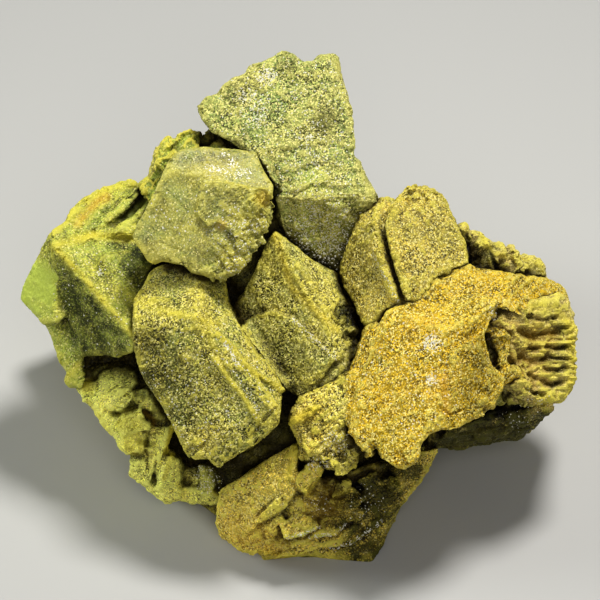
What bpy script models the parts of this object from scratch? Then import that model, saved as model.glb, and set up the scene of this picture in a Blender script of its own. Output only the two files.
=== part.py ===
"""Heulandite specimen: a hand-sized cluster of blocky crystals grown together on a broken base.

Crystals are laid out on the display side, in millimetres (across, up, out), with the middle of
that side at zero. Out points away from the specimen, straight at someone looking at it.
The whole cluster then leans back by DISPLAY_LEAN, so that it rests on its broken base at Z = 0.
"""

import random
from math import radians

import bmesh
import bpy
from mathutils import Matrix, Vector

MM = 0.001
DISPLAY_LEAN = 45.0  # degrees from upright, which turns the display side to face up and forward
CENTRE_HEIGHT = 29.2  # mm from the surface it rests on to the middle of the display side
CENTRE_FORWARD = -7.6  # mm from the middle of the footprint to the middle of the display side
CENTRE_ACROSS = 0.2  # mm, the same to the right
EDGE = 0.3  # mm, the small worn bevel along the sharp edges of a lump
LAYER_EDGE = 0.2
BACK_EDGE = 1.0
SHARP = 28.0  # degrees, edges that turn by more than this are worn
ROOT_TAPER = 0.86  # lumps and layers narrow towards their root
FLARE = 0.003  # a crystal widens by this share per mm towards its front
HEADROOM = 0.2  # mm that a crystal is drawn too tall before its faces are cut
GROUND = (120.0, 120.0, 30.0)  # mm, the block that trims the base flat
WELD = 0.004  # mm, points nearer than this are one
CUBE_SEED = 11
CUBE_SCATTER = 0.5  # mm that a small cube may stand off its path
CUBE_YAW = (0.2, 0.7)  # radians that a small cube turns, at least and at most
CUBE_TIP = (0.2, 0.9)
OLIVE = (0.27, 0.24, 0.055, 1.0)
MINERAL_ROUGHNESS = 0.55

# Three kinds of growth, all with corners in (across, up[, out]) on the display side:
#   crystal  a block with an outline, its top cut by faces, each given by three of its corners
#   lump     a convex piece, given by the corners that show
#   layer    a thin growth layer: outline, how far out its middle stands, its rise per mm to the
#            right and per mm upwards, and its thickness
# root is how far out the back of a crystal or lump lies.

TOP_SLAB = dict(
    crystals=[
        dict(
            outline=[(-13.0, 24.3), (-12.0, 25.6), (-10.6, 25.8), (-10.0, 26.7), (-8.6, 27.9),
                     (-6.9, 28.6), (-6.5, 29.6), (-4.6, 30.2), (-2.1, 31.5), (-0.9, 31.2),
                     (0.4, 30.2), (1.6, 30.2), (2.4, 31.1), (4.5, 31.3), (5.0, 30.7), (5.8, 26.9),
                     (6.6, 24.0), (6.9, 18.8), (6.6, 17.4), (0.0, 17.8), (-4.6, 16.9), (-7.4, 18.9),
                     (-11.0, 21.1), (-12.4, 22.6)],
            faces=[((-12.8, 24.1, -3.0), (4.9, 30.4, -4.4), (6.3, 17.8, -1.0))],
            root=-12.0, edge=0.45),
        dict(
            outline=[(-4.8, 17.2), (6.4, 18.4), (7.5, 17.4), (8.4, 15.2), (9.6, 13.0), (9.8, 9.0),
                     (7.2, 6.0), (4.8, 3.7), (1.2, 5.2), (-1.9, 8.0), (-2.9, 10.6), (-3.2, 13.2)],
            faces=[((-3.2, 12.6, 0.0), (7.8, 12.9, -0.2), (6.3, 17.8, -1.3)),
                   ((-3.2, 12.6, 0.0), (7.8, 12.9, -0.2), (4.8, 3.7, -4.8))],
            root=-12.0, edge=0.4),
    ],
    layers=[
        dict(outline=[(-2.0, 14.6), (1.5, 15.4), (5.8, 16.6), (7.0, 15.0), (7.6, 13.0), (1.0, 12.6),
                      (-3.0, 12.8)], out=-0.1, slope=(0.0, -0.30), depth=2.0),
    ],
)

SHEEN_CRYSTAL = dict(
    crystals=[
        dict(
            outline=[(-20.9, 7.8), (-20.1, 9.8), (-18.5, 12.5), (-17.4, 15.0), (-16.5, 17.1),
                     (-15.4, 18.6), (-12.5, 19.1), (-8.5, 18.9), (-5.4, 18.5), (-4.9, 17.1),
                     (-4.4, 16.0), (-3.3, 14.2), (-3.5, 13.0), (-4.5, 11.9), (-4.7, 9.8),
                     (-5.5, 7.9), (-6.4, 5.5), (-7.4, 4.5), (-9.3, 2.7), (-11.6, 3.0), (-13.4, 3.2),
                     (-14.5, 4.3), (-17.1, 4.9), (-18.6, 4.3), (-19.3, 5.3)],
            faces=[((-12.9, 15.6, 4.9), (-6.3, 14.1, 4.9), (-12.0, 3.0, 4.4)),
                   ((-12.9, 15.6, 4.9), (-6.3, 14.1, 4.9), (-8.5, 18.9, 2.2))],
            root=0.6, edge=0.3),
        dict(
            outline=[(-19.0, 10.0), (-16.0, 16.4), (-6.0, 16.6), (-5.0, 12.0), (-7.0, 7.0),
                     (-11.0, 5.0), (-17.0, 6.6)],
            faces=[((-19.0, 10.0, 2.6), (-6.0, 16.0, 1.6), (-10.0, 5.0, 2.6))],
            root=-11.0, edge=0.3),
    ],
    layers=[
        dict(outline=[(-12.4, 14.8), (-13.2, 12.0), (-12.6, 10.3), (-11.6, 9.0), (-10.4, 9.6),
                      (-9.0, 9.0), (-7.6, 7.6), (-6.8, 6.2), (-5.6, 8.0), (-4.9, 9.8), (-4.7, 11.8),
                      (-3.7, 13.0), (-3.9, 13.9), (-6.3, 14.0), (-9.6, 14.8)],
             out=5.3, slope=(0.0, 0.04), depth=1.5),
    ],
)

LEFT_BLOCK = dict(
    crystals=[
        dict(
            outline=[(-31.3, 6.9), (-31.2, 8.9), (-29.6, 10.0), (-29.2, 11.4), (-27.5, 13.3),
                     (-25.3, 14.3), (-24.6, 14.8), (-21.5, 15.9), (-20.5, 15.2), (-17.0, 16.9),
                     (-15.0, 12.0), (-18.4, 4.2), (-18.8, 0.0), (-20.6, -4.4), (-20.4, -6.3),
                     (-22.8, -7.3), (-24.4, -7.1), (-25.6, -7.3), (-27.4, -7.3), (-28.2, -5.0),
                     (-29.6, -1.8), (-31.0, 1.0), (-31.7, 3.3)],
            faces=[((-31.0, 6.8, -3.0), (-20.9, -4.4, 1.4), (-28.2, -5.0, -5.0)),
                   ((-31.0, 6.8, -3.0), (-20.9, -4.4, 1.4), (-20.9, 7.8, -5.6)),
                   ((-31.0, 6.8, -3.0), (-20.9, 7.8, -5.6), (-24.1, 14.0, -10.5))],
            root=-14.0, edge=0.35),
        dict(
            outline=[(-31.4, 8.4), (-33.0, 5.6), (-35.0, 2.3), (-35.4, 0.1), (-33.4, -2.0),
                     (-32.3, -3.1), (-30.0, -2.8), (-29.2, -1.8), (-30.5, 1.0), (-31.2, 3.3),
                     (-30.6, 6.8)],
            faces=[((-31.2, 8.1, -4.6), (-31.0, 1.0, -4.6), (-34.8, 0.1, -8.4))],
            root=-15.0, edge=0.35),
    ],
    lumps=[
        dict(corners=[(-32.2, -2.8, -7.4), (-31.2, -5.0, -7.2), (-30.5, -7.4, -7.2), (-29.9, -9.0, -7.4),
                      (-29.4, -2.0, -5.8), (-28.0, -5.0, -5.6), (-27.2, -8.2, -5.8)], root=-14.0),
        dict(corners=[(-30.2, -10.2, -7.2), (-29.4, -11.2, -7.0), (-27.6, -11.2, -6.4),
                      (-26.8, -9.0, -5.8), (-28.4, -7.9, -6.0)], root=-12.0),
    ],
    layers=[
        dict(outline=[(-28.2, 9.4), (-24.2, 11.6), (-20.4, 14.8), (-19.9, 13.6), (-22.4, 10.8),
                      (-27.0, 8.4)], out=-7.2, slope=(0.0, -0.8), depth=2.0),
        dict(outline=[(-24.8, 8.2), (-21.4, 10.8), (-17.2, 16.4), (-16.4, 15.6), (-19.6, 10.2),
                      (-21.0, 8.2)], out=-7.0, slope=(0.0, -0.8), depth=2.0),
        dict(outline=[(-24.9, 6.2), (-25.4, 4.4), (-22.9, 1.2), (-21.3, 0.0), (-20.4, 1.2),
                      (-20.6, 6.4)], out=-2.7, slope=(-0.42, -0.34), depth=2.0),
    ],
)

FRONT_BLOCK = dict(
    crystals=[
        dict(
            outline=[(-20.9, -2.8), (-21.1, -0.1), (-20.1, 1.5), (-18.9, 3.9), (-17.0, 4.8),
                     (-9.5, 4.0), (-8.9, 0.2), (-7.3, -3.5), (-4.8, -6.8), (-1.8, -10.8),
                     (-2.2, -12.2), (-2.6, -15.4), (-3.8, -16.5), (-4.8, -17.5), (-5.4, -18.2),
                     (-6.8, -19.0), (-8.8, -20.0), (-9.8, -20.9), (-10.6, -20.9), (-11.4, -20.0),
                     (-12.6, -20.3), (-14.0, -19.8), (-15.0, -18.1), (-16.0, -15.6), (-17.5, -13.1),
                     (-19.4, -10.0), (-20.4, -7.5), (-20.9, -5.0)],
            faces=[((-12.5, -2.5, 6.2), (-2.6, -15.2, 6.0), (-19.4, -10.0, 2.8)),
                   ((-12.5, -2.5, 6.2), (-2.6, -15.2, 6.0), (-7.3, -3.5, 2.4)),
                   ((-20.9, -3.4, 3.8), (-12.5, -2.5, 6.2), (-17.0, 4.6, 0.0))],
            root=-9.0, edge=0.5),
    ],
    layers=[
        dict(outline=[(-10.5, -2.6), (-9.0, -0.8), (-2.2, -10.0), (-2.3, -12.0), (-6.4, -7.8)],
             out=3.9, slope=(-0.81, -0.62), depth=2.0),
        dict(outline=[(-12.0, -3.0), (-11.0, -2.2), (-6.6, -7.4), (-2.5, -13.0), (-2.7, -14.6),
                      (-7.6, -8.6)], out=5.8, slope=(-0.60, -0.50), depth=2.0),
        dict(outline=[(-20.4, -1.6), (-18.6, 0.6), (-16.0, 0.2), (-12.4, -0.4), (-12.0, -2.4),
                      (-16.4, -3.4), (-19.8, -3.6)], out=4.0, slope=(0.20, -0.35), depth=2.0),
    ],
)

CENTRE_BLOCK = dict(
    crystals=[
        dict(
            outline=[(-3.1, 8.9), (-1.5, 7.8), (1.5, 5.3), (4.6, 3.5), (5.3, 1.4), (6.9, -1.3),
                     (7.6, -5.0), (7.2, -6.9), (5.8, -7.9), (4.6, -7.5), (2.9, -10.1), (0.0, -11.5),
                     (-1.6, -11.0), (-4.8, -6.3), (-7.5, -3.3), (-8.4, -1.9), (-8.1, 0.0),
                     (-7.1, 1.1), (-5.8, 4.0), (-4.3, 7.4)],
            faces=[((-3.1, 8.1, 0.8), (4.4, -3.6, 3.2), (-8.1, -0.6, -2.6)),
                   ((-3.1, 8.1, 0.8), (4.4, -3.6, 3.2), (4.8, 3.5, -2.4)),
                   ((2.9, -2.0, 3.0), (5.0, -7.2, 2.8), (7.6, -5.0, -0.4))],
            root=-10.0, edge=0.4),
    ],
    layers=[
        dict(outline=[(-7.4, -2.6), (-4.3, -1.0), (-0.9, -2.3), (1.8, -4.8), (4.5, -7.4), (2.7, -9.9),
                      (0.0, -11.2), (-1.6, -10.6), (-4.8, -6.3)],
             out=1.5, slope=(0.48, 0.10), depth=2.0),
    ],
)

RIGHT_PAIR = dict(
    crystals=[
        dict(
            outline=[(4.8, 3.4), (5.1, 5.6), (6.4, 8.3), (7.4, 10.9), (9.0, 12.9), (10.3, 13.1),
                     (11.2, 12.6), (12.2, 7.0), (13.0, 0.4), (12.1, -0.2), (10.6, -1.5),
                     (9.8, -3.1), (8.5, -4.1), (7.3, -2.3), (6.9, -1.0), (5.5, 1.3)],
            faces=[((4.8, 3.4, -1.2), (8.9, 9.8, 2.0), (12.1, 0.0, 4.4)),
                   ((8.9, 9.8, 2.0), (12.1, 0.0, 4.4), (12.4, 6.0, 1.6)),
                   ((6.4, 8.3, 0.4), (9.2, 9.9, 2.0), (9.0, 12.9, -2.0))],
            root=-11.0, edge=0.35),
        dict(
            outline=[(10.6, 9.4), (11.0, 11.6), (12.2, 13.2), (13.4, 14.2), (15.1, 14.5),
                     (17.1, 14.0), (18.2, 13.1), (19.0, 11.0), (19.8, 9.4), (21.1, 6.6),
                     (21.3, 4.3), (19.3, 3.6), (16.9, 2.5), (15.1, -0.2), (13.1, -0.4),
                     (12.5, 1.9), (11.6, 4.8), (11.0, 7.0)],
            faces=[((10.8, 9.0, 3.0), (13.2, 0.0, 5.4), (20.9, 6.6, 0.6)),
                   ((11.2, 11.6, 1.8), (19.6, 9.0, 0.2), (15.0, 14.3, -1.4))],
            root=-12.0, edge=0.4),
    ],
    layers=[
        dict(outline=[(9.4, 6.6), (10.1, 6.8), (12.4, 0.6), (11.6, -0.2)], out=4.0,
             slope=(-0.4, -0.3), depth=2.0),
    ],
)

GOLD_BLOCK = dict(
    crystals=[
        dict(
            outline=[(10.6, -1.5), (9.8, -3.1), (8.8, -5.6), (8.1, -8.1), (6.9, -10.6),
                     (6.3, -12.5), (6.1, -15.6), (5.6, -16.5), (6.3, -17.1), (6.9, -18.4),
                     (8.4, -19.6), (9.1, -19.2), (8.9, -17.6), (9.4, -18.4), (10.0, -19.8),
                     (11.3, -20.4), (12.8, -20.9), (14.1, -20.2), (14.9, -19.4), (15.0, -17.6),
                     (15.6, -16.8), (17.5, -16.1), (19.6, -15.9), (21.3, -15.1), (22.8, -14.4),
                     (24.3, -13.1), (25.0, -11.5), (25.9, -10.3), (25.0, -9.0), (24.1, -8.1),
                     (23.6, -6.5), (23.1, -4.4), (23.8, -2.8), (24.8, 0.2), (22.0, 1.5),
                     (16.3, 1.9)],
            faces=[((10.6, -1.5, 5.0), (6.3, -16.0, 5.8), (18.1, -5.6, 7.4)),
                   ((18.1, -5.6, 7.4), (17.6, -15.0, 8.0), (25.0, -10.3, 4.4)),
                   ((10.6, -1.5, 5.0), (20.0, -2.4, 6.2), (16.3, 1.9, 2.4))],
            root=-1.0, edge=0.35),
        dict(
            outline=[(11.6, -2.5), (8.6, -8.1), (7.6, -15.0), (11.0, -18.6), (14.0, -17.8),
                     (19.0, -14.6), (23.6, -11.6), (23.0, -4.4), (20.0, 0.0)],
            faces=[((11.6, -2.5, 3.0), (11.0, -18.6, 3.0), (23.6, -11.6, 3.0))],
            root=-10.0, edge=0.3),
        dict(
            outline=[(10.6, -1.5), (16.3, 1.9), (19.4, 3.9), (21.3, 4.3), (25.2, 3.8), (30.9, 2.9),
                     (33.6, 1.7), (34.1, 0.5), (34.4, -1.2), (30.0, -1.8), (27.5, -2.1), (24.8, -1.0),
                     (22.0, -3.2)],
            faces=[((10.6, -1.5, 4.8), (20.0, -2.8, 5.8), (21.3, 4.1, -1.0)),
                   ((24.8, 0.2, 3.2), (27.5, -2.1, 2.0), (33.5, 0.4, -5.0))],
            root=-13.0, edge=0.35),
    ],
    layers=[
        dict(outline=[(7.4, -12.0), (10.2, -7.6), (12.0, -7.4), (12.8, -8.6), (14.2, -8.4),
                      (16.6, -10.6), (16.8, -14.4), (14.6, -17.4), (14.4, -19.0), (12.6, -20.2),
                      (10.4, -19.2), (9.4, -17.2), (7.0, -15.0)],
             out=6.7, slope=(0.19, -0.08), depth=2.0),
        dict(outline=[(19.8, -3.0), (22.4, -0.6), (24.8, 0.2), (24.4, -0.9), (22.4, -2.0),
                      (20.8, -4.4)], out=5.4, slope=(-0.30, -0.35), depth=2.0),
        dict(outline=[(18.6, -6.2), (22.6, -4.0), (23.2, -7.2), (25.0, -9.8), (21.6, -13.8),
                      (18.2, -14.4)], out=6.5, slope=(-0.46, 0.05), depth=2.0),
    ],
)

RIGHT_END = dict(
    crystals=[
        dict(
            outline=[(27.5, -1.6), (33.9, 0.6), (34.4, -2.2), (34.8, -5.6), (34.7, -9.4),
                     (34.2, -11.9), (32.9, -13.0), (30.6, -12.7), (27.5, -12.7), (24.0, -10.6),
                     (22.8, -4.0)],
            faces=[((27.5, -2.0, 0.8), (27.9, -10.0, 0.8), (34.2, -5.6, -4.6)),
                   ((27.5, -2.0, 0.8), (27.9, -10.0, 0.8), (23.2, -4.0, 2.6))],
            root=-15.0, edge=0.3),
    ],
    lumps=[
        dict(corners=[(15.6, -19.2, -6.0), (16.2, -16.4, -5.0), (22.0, -15.0, -2.4), (28.0, -12.6, -2.4),
                      (32.4, -12.6, -5.6), (31.3, -14.3, -7.4), (30.3, -15.6, -8.4),
                      (27.9, -17.6, -9.0), (24.8, -18.2, -9.2), (20.6, -17.3, -8.6)], root=-15.0),
        dict(corners=[(19.6, 9.0, -3.4), (21.3, 8.6, -3.0), (22.8, 8.2, -3.2), (22.0, 5.4, -0.8),
                      (20.4, 4.8, -1.0)], root=-11.0),
        dict(corners=[(22.0, 8.2, -4.4), (23.9, 7.4, -4.2), (25.1, 5.9, -3.6), (24.6, 3.8, -2.0),
                      (21.7, 4.4, -2.2)], root=-13.0),
        dict(corners=[(24.6, 6.0, -6.4), (26.6, 5.3, -5.6), (28.6, 5.3, -5.4), (29.8, 5.6, -6.0),
                      (31.1, 4.6, -6.2), (31.3, 2.6, -5.4), (27.6, 2.0, -3.2), (24.6, 3.8, -3.6)],
             root=-14.0),
    ],
)

LOWER_GROUP = dict(
    lumps=[
        dict(corners=[(0.0, -12.0, 2.6), (5.6, -9.0, 3.2), (7.5, -8.3, 3.0), (6.6, -12.5, 4.6),
                      (5.8, -16.3, 4.6), (1.9, -16.5, 3.4), (-0.4, -17.5, 1.8), (-1.0, -16.3, 2.2),
                      (-1.5, -15.0, 2.4), (-1.0, -13.5, 2.6)], root=-8.0),
        dict(corners=[(-1.3, -15.0, 3.2), (1.3, -13.1, 3.9), (2.1, -13.8, 4.1), (-0.5, -15.8, 3.4)],
             root=-2.0),
        dict(corners=[(-0.4, -17.3, 2.0), (1.5, -15.8, 3.8), (5.0, -15.8, 4.6), (7.3, -18.1, 3.8),
                      (7.3, -19.4, 3.0), (6.2, -21.2, 2.4), (5.4, -21.9, 2.2), (3.8, -20.8, 2.8),
                      (1.5, -19.6, 2.6), (0.0, -19.8, 1.6)], root=-7.0),
        dict(corners=[(-10.0, -23.9, -3.8), (-4.8, -21.3, -1.4), (-0.4, -17.8, 0.4), (0.0, -19.4, 0.8),
                      (-0.9, -22.3, 1.0), (0.0, -25.0, 0.2), (-1.9, -27.5, -0.8), (-4.8, -29.4, -2.8),
                      (-5.7, -32.3, -6.0), (-7.9, -31.6, -6.8), (-10.3, -30.2, -7.6),
                      (-10.9, -28.4, -7.4), (-10.2, -25.8, -6.0)], root=-14.0),
        dict(corners=[(0.0, -25.0, -0.4), (5.0, -22.0, 0.2), (12.3, -20.0, -1.6), (17.8, -18.4, -5.0),
                      (15.0, -23.4, -6.6), (13.0, -26.0, -7.4), (10.0, -28.4, -6.4), (3.1, -32.6, -7.4),
                      (-4.8, -33.0, -8.4), (-5.6, -31.2, -6.4)], root=-15.0),
        dict(corners=[(1.9, -32.6, -8.0), (4.4, -31.8, -7.6), (10.0, -27.7, -6.8), (12.2, -26.2, -8.0),
                      (10.6, -31.0, -8.6), (9.0, -33.4, -8.0)], root=-14.0),
    ],
    layers=[
        dict(outline=[(-0.4, -24.0), (0.4, -20.7), (1.4, -19.8), (2.4, -20.0), (3.1, -21.2),
                      (1.9, -23.0), (1.0, -24.1)], out=2.0, slope=(0.10, 0.15), depth=3.0),
        dict(outline=[(4.0, -24.8), (4.6, -23.4), (7.5, -22.2), (7.6, -22.9), (5.6, -24.2)],
             out=0.9, slope=(0.0, 0.20), depth=3.0),
        dict(outline=[(10.0, -23.4), (10.6, -22.3), (12.4, -22.4), (12.6, -23.4), (11.4, -24.3)],
             out=-1.4, slope=(0.0, 0.20), depth=3.0),
        dict(outline=[(-1.9, -29.7), (-2.6, -27.4), (0.6, -26.6), (2.8, -27.8), (1.4, -28.8)],
             out=-2.2, slope=(0.10, 0.45), depth=2.0),
        dict(outline=[(-3.8, -31.9), (-3.0, -29.6), (2.0, -28.4), (5.6, -30.0), (1.0, -31.2)],
             out=-4.2, slope=(0.05, 0.45), depth=2.0),
        dict(outline=[(-1.2, -32.7), (3.1, -31.9), (6.6, -30.4), (10.0, -27.7), (8.2, -28.0),
                      (4.4, -30.0), (-1.0, -31.8)], out=-5.8, slope=(0.05, 0.40), depth=2.0),
        dict(outline=[(-5.4, -28.0), (-4.0, -25.6), (-0.2, -23.4), (0.1, -24.8), (-2.4, -27.2)],
             out=-0.4, slope=(0.40, 0.30), depth=2.0),
    ],
)

LOWER_LEFT = dict(
    lumps=[
        dict(corners=[(-27.2, -8.5, -8.6), (-22.5, -7.8, -8.0), (-18.8, -10.6, -6.4), (-20.6, -13.1, -5.2),
                      (-25.0, -13.9, -5.8), (-27.6, -12.7, -7.2), (-28.5, -11.0, -8.0)], root=-15.0),
        dict(corners=[(-21.3, -11.0, -6.0), (-18.1, -10.6, -5.2), (-16.9, -13.5, -4.8),
                      (-16.2, -15.4, -5.0), (-18.8, -15.0, -4.0), (-20.0, -17.5, -4.4),
                      (-22.3, -20.0, -6.4), (-24.3, -17.8, -6.6), (-23.3, -15.3, -5.6)], root=-14.0),
        dict(corners=[(-16.0, -15.4, -3.6), (-15.6, -17.0, -4.6), (-17.4, -20.6, -5.0),
                      (-19.2, -20.4, -5.0), (-18.2, -17.4, -4.2)], root=-13.0),
        dict(corners=[(-21.8, -20.1, -7.8), (-18.8, -19.8, -5.6), (-16.9, -19.7, -5.0),
                      (-15.0, -19.6, -6.4), (-15.0, -23.6, -8.4), (-15.4, -25.9, -10.4),
                      (-17.9, -25.8, -10.6), (-20.2, -24.1, -10.0), (-21.8, -22.4, -9.2)], root=-15.0),
        dict(corners=[(-15.4, -23.0, -9.4), (-13.0, -21.6, -8.0), (-10.6, -22.4, -7.6),
                      (-9.8, -26.0, -9.4), (-12.0, -25.5, -10.6), (-15.2, -25.7, -11.0)], root=-15.0),
        dict(corners=[(-27.8, -6.0, -9.6), (-20.0, -5.0, -9.0), (-18.0, -9.0, -9.0),
                      (-27.4, -9.4, -9.8)], root=-15.0),
        dict(corners=[(-26.6, -13.2, -6.6), (-22.8, -14.4, -5.4), (-22.8, -17.2, -6.4),
                      (-25.0, -17.0, -7.4), (-26.4, -15.4, -7.4)], root=-13.0),
    ],
    layers=[
        dict(outline=[(-22.8, -13.0), (-21.4, -11.6), (-18.6, -11.6), (-17.4, -13.6), (-19.2, -14.2)],
             out=-4.4, slope=(0.10, -0.30), depth=2.0),
    ],
)

UPPER_LEFT = dict(
    lumps=[
        dict(corners=[(-18.2, 16.9, -4.2), (-18.2, 18.7, -4.6), (-17.3, 20.1, -4.8), (-16.4, 20.7, -4.8),
                      (-15.2, 18.0, -2.8), (-16.8, 16.0, -2.4)], root=-13.0),
        dict(corners=[(-16.2, 19.6, -5.4), (-15.0, 21.0, -5.8), (-13.1, 21.3, -6.0),
                      (-12.2, 20.4, -5.6), (-12.4, 17.6, -3.6), (-15.4, 17.6, -3.6)], root=-13.0),
        dict(corners=[(-12.8, 20.4, -6.6), (-10.8, 21.5, -7.0), (-9.6, 20.6, -6.2), (-8.2, 18.8, -4.6),
                      (-12.4, 17.8, -4.6)], root=-13.0),
        dict(corners=[(-20.2, 14.6, -7.8), (-17.2, 17.2, -7.8), (-15.6, 15.0, -2.8), (-18.4, 11.4, -2.6)],
             root=-13.0),
    ],
)

GROUPS = dict(top_slab=TOP_SLAB, sheen=SHEEN_CRYSTAL, left=LEFT_BLOCK, front=FRONT_BLOCK,
              centre=CENTRE_BLOCK, right_pair=RIGHT_PAIR, gold=GOLD_BLOCK, right_end=RIGHT_END,
              lower=LOWER_GROUP, lower_left=LOWER_LEFT, upper_left=UPPER_LEFT)

# Small cubes along crumbling edges: a path of (across, up, out), how many, and how large in mm
CRUMBLED_EDGES = [
    dict(path=[(-4.2, 11.6, 4.0), (-5.0, 9.4, 4.2), (-6.4, 6.4, 4.2), (-8.0, 3.6, 4.0),
               (-10.6, 3.2, 3.8)], count=16, size=(0.9, 1.7)),
    dict(path=[(0.6, -17.4, 3.2), (3.0, -19.4, 3.2), (5.6, -20.8, 2.8), (6.8, -18.8, 3.6)],
         count=9, size=(0.9, 1.8)),
    dict(path=[(24.2, -3.0, 2.6), (25.6, -5.4, 2.2), (25.0, -8.6, 2.4), (27.4, -10.6, 0.8)],
         count=10, size=(1.2, 2.4)),
    dict(path=[(-21.4, -17.0, -5.0), (-19.6, -18.4, -4.8)], count=5, size=(0.9, 1.5)),
    dict(path=[(-12.8, -21.6, -7.8), (-10.6, -22.8, -7.2)], count=4, size=(0.9, 1.5)),
]

# Layered right end: thin plates on edge, stacked downwards. Each is (right end, front) in mm.
LAYERS = [(34.2, -1.2), (34.5, -1.6), (34.6, -0.6), (34.5, -1.4), (34.9, -0.5), (35.1, -1.2),
          (34.8, -0.4), (35.1, -1.0), (34.7, -0.6), (34.5, -1.4), (33.9, -0.9)]
LAYER_TOP = -0.6
LAYER_PITCH = 1.12
LAYER_THICKNESS = 0.74
LAYER_LEFT = 26.6
LAYER_BACK = -13.0
LAYER_SETBACK = 3.4  # mm that the corner the plates turn about lies behind their front
LAYER_TURN = 32.0  # degrees that the stack turns away to the right

# Rock under and behind the crystals, a main mass and a shoulder under the right end: rings of
# corners (across, back), each at its height above the base
CORES = [
    {
        -2.0: [(-13, -4), (-4, -15), (2, -18.8), (8, -18.8), (9, -17.6), (15, -1.4), (18, 8),
               (20, 18), (10, 27), (-6, 28), (-18, 22), (-24, 9), (-20, -1)],
        10.0: [(-19, -4), (-6, -7), (8, -7), (16, -3), (20, 6), (22, 14), (18, 22), (9, 27), (-8, 30),
               (-20, 24), (-27, 12), (-26, 2)],
        24.0: [(-25, 7), (-8, 7), (8, 7), (20, 8), (20, 12), (14, 16), (5, 25), (-6, 31), (-17, 25),
               (-27, 14)],
        35.0: [(-8, 18), (0, 18), (0, 24), (-6, 28)],
    },
    {
        3.0: [(16, 2), (25, 10), (24, 16), (14, 16)],
        11.0: [(18, -2), (28, 5), (28, 12), (22, 18), (12, 14)],
        19.0: [(16, 4), (28, 6), (28, 10), (18, 14), (12, 12)],
    },
]

# Crystals of the hidden sides: (across, back, height), (turn, tip, roll) degrees, (w, d, h) mm
BACK_CRYSTALS = [
    ((-24.0, 17.0, 13.0), (20, 15, 35), (12, 10, 14)),
    ((-13.0, 27.0, 21.0), (-15, 30, 10), (14, 10, 12)),
    ((1.0, 29.0, 12.0), (10, -20, 25), (15, 9, 13)),
    ((13.0, 23.0, 14.0), (-30, 25, 15), (12, 11, 12)),
    ((21.0, 16.0, 10.0), (35, -10, 20), (11, 12, 11)),
    ((-4.0, 29.0, 27.0), (5, 35, -20), (12, 8, 12)),
    ((-17.0, 11.0, 6.0), (-25, 10, 30), (12, 12, 9)),
    ((22.0, 10.0, 8.0), (15, 20, -25), (12, 12, 10)),
    ((-12.0, 26.0, 6.0), (40, 5, 12), (12, 9, 9)),
    ((13.0, 23.0, 4.0), (-10, -15, 8), (12, 9, 8)),
]


def clear_scene():
    for obj in list(bpy.data.objects):
        bpy.data.objects.remove(obj)


def base_to_world():
    """Turns (across, back, height) in mm, from under the middle of the display side, into metres."""
    return Matrix.Scale(MM, 4) @ Matrix.Translation((CENTRE_ACROSS, CENTRE_FORWARD, 0.0))


def display_to_world():
    """Turns (across, up, out) in mm on the display side into metres."""
    lean = Matrix.Rotation(radians(90.0 - DISPLAY_LEAN), 4, "X")
    return base_to_world() @ Matrix.Translation((0.0, 0.0, CENTRE_HEIGHT)) @ lean


def wear_edges(bm, width):
    """Bevels the outward edges that turn sharply."""
    bm.normal_update()
    sharp = [edge for edge in bm.edges if edge.calc_face_angle_signed(0) > radians(SHARP)]
    bmesh.ops.bevel(bm, geom=sharp, offset=width, segments=1, profile=0.5, affect="EDGES",
                    clamp_overlap=True, material=-1)


def finish_mesh(name, bm, matrix, collection):
    """Closes off a bmesh as an object whose place is in its mesh."""
    bmesh.ops.remove_doubles(bm, verts=bm.verts, dist=WELD)
    bmesh.ops.recalc_face_normals(bm, faces=bm.faces)
    bm.transform(matrix)
    mesh = bpy.data.meshes.new(name)
    bm.to_mesh(mesh)
    bm.free()
    obj = bpy.data.objects.new(name, mesh)
    collection.objects.link(obj)
    obj.hide_render = True
    obj.display_type = "WIRE"
    return obj


def convex_bmesh(points):
    bm = bmesh.new()
    for point in points:
        bm.verts.new(point)
    hull = bmesh.ops.convex_hull(bm, input=bm.verts)
    inside = [item for item in hull["geom_interior"] if isinstance(item, bmesh.types.BMVert)]
    bmesh.ops.delete(bm, geom=inside, context="VERTS")
    return bm


def lump_bmesh(corners, root):
    """One convex piece: the corners that show, and the same corners drawn in at its root."""
    middle = sum((Vector(corner) for corner in corners), Vector()) / len(corners)
    points = [Vector(corner) for corner in corners]
    for corner in corners:
        drawn_in = middle + (Vector(corner) - middle) * ROOT_TAPER
        points.append(Vector((drawn_in.x, drawn_in.y, root)))
    bm = convex_bmesh(points)
    wear_edges(bm, EDGE)
    return bm


def crystal_bmesh(outline, faces, root, edge):
    """One crystal: a prism on its outline, a little wider in front, its top cut by its faces."""
    middle = sum((Vector(point) for point in outline), Vector((0, 0))) / len(outline)
    height = max(corner[2] for face in faces for corner in face) + HEADROOM - root
    bm = bmesh.new()
    shrink = 1.0 - height * FLARE
    ring = [middle + (Vector(point) - middle) * shrink for point in outline]
    floor = bm.faces.new([bm.verts.new((point.x, point.y, root)) for point in ring])
    made = bmesh.ops.extrude_face_region(bm, geom=[floor], use_keep_orig=True)["geom"]
    for vert in (item for item in made if isinstance(item, bmesh.types.BMVert)):
        flat = middle + (vert.co.xy - middle) / shrink
        vert.co = (flat.x, flat.y, root + height)
    bmesh.ops.recalc_face_normals(bm, faces=bm.faces)
    for face in faces:
        a, b, c = (Vector(corner) for corner in face)
        normal = (b - a).cross(c - a).normalized()
        if normal.z < 0:
            normal.negate()
        cut = bmesh.ops.bisect_plane(bm, geom=bm.verts[:] + bm.edges[:] + bm.faces[:], plane_co=a,
                                     plane_no=normal, clear_outer=True)["geom_cut"]
        open_edges = [item for item in cut if isinstance(item, bmesh.types.BMEdge)]
        bmesh.ops.contextual_create(bm, geom=open_edges)
    wear_edges(bm, edge)
    return bm


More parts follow.
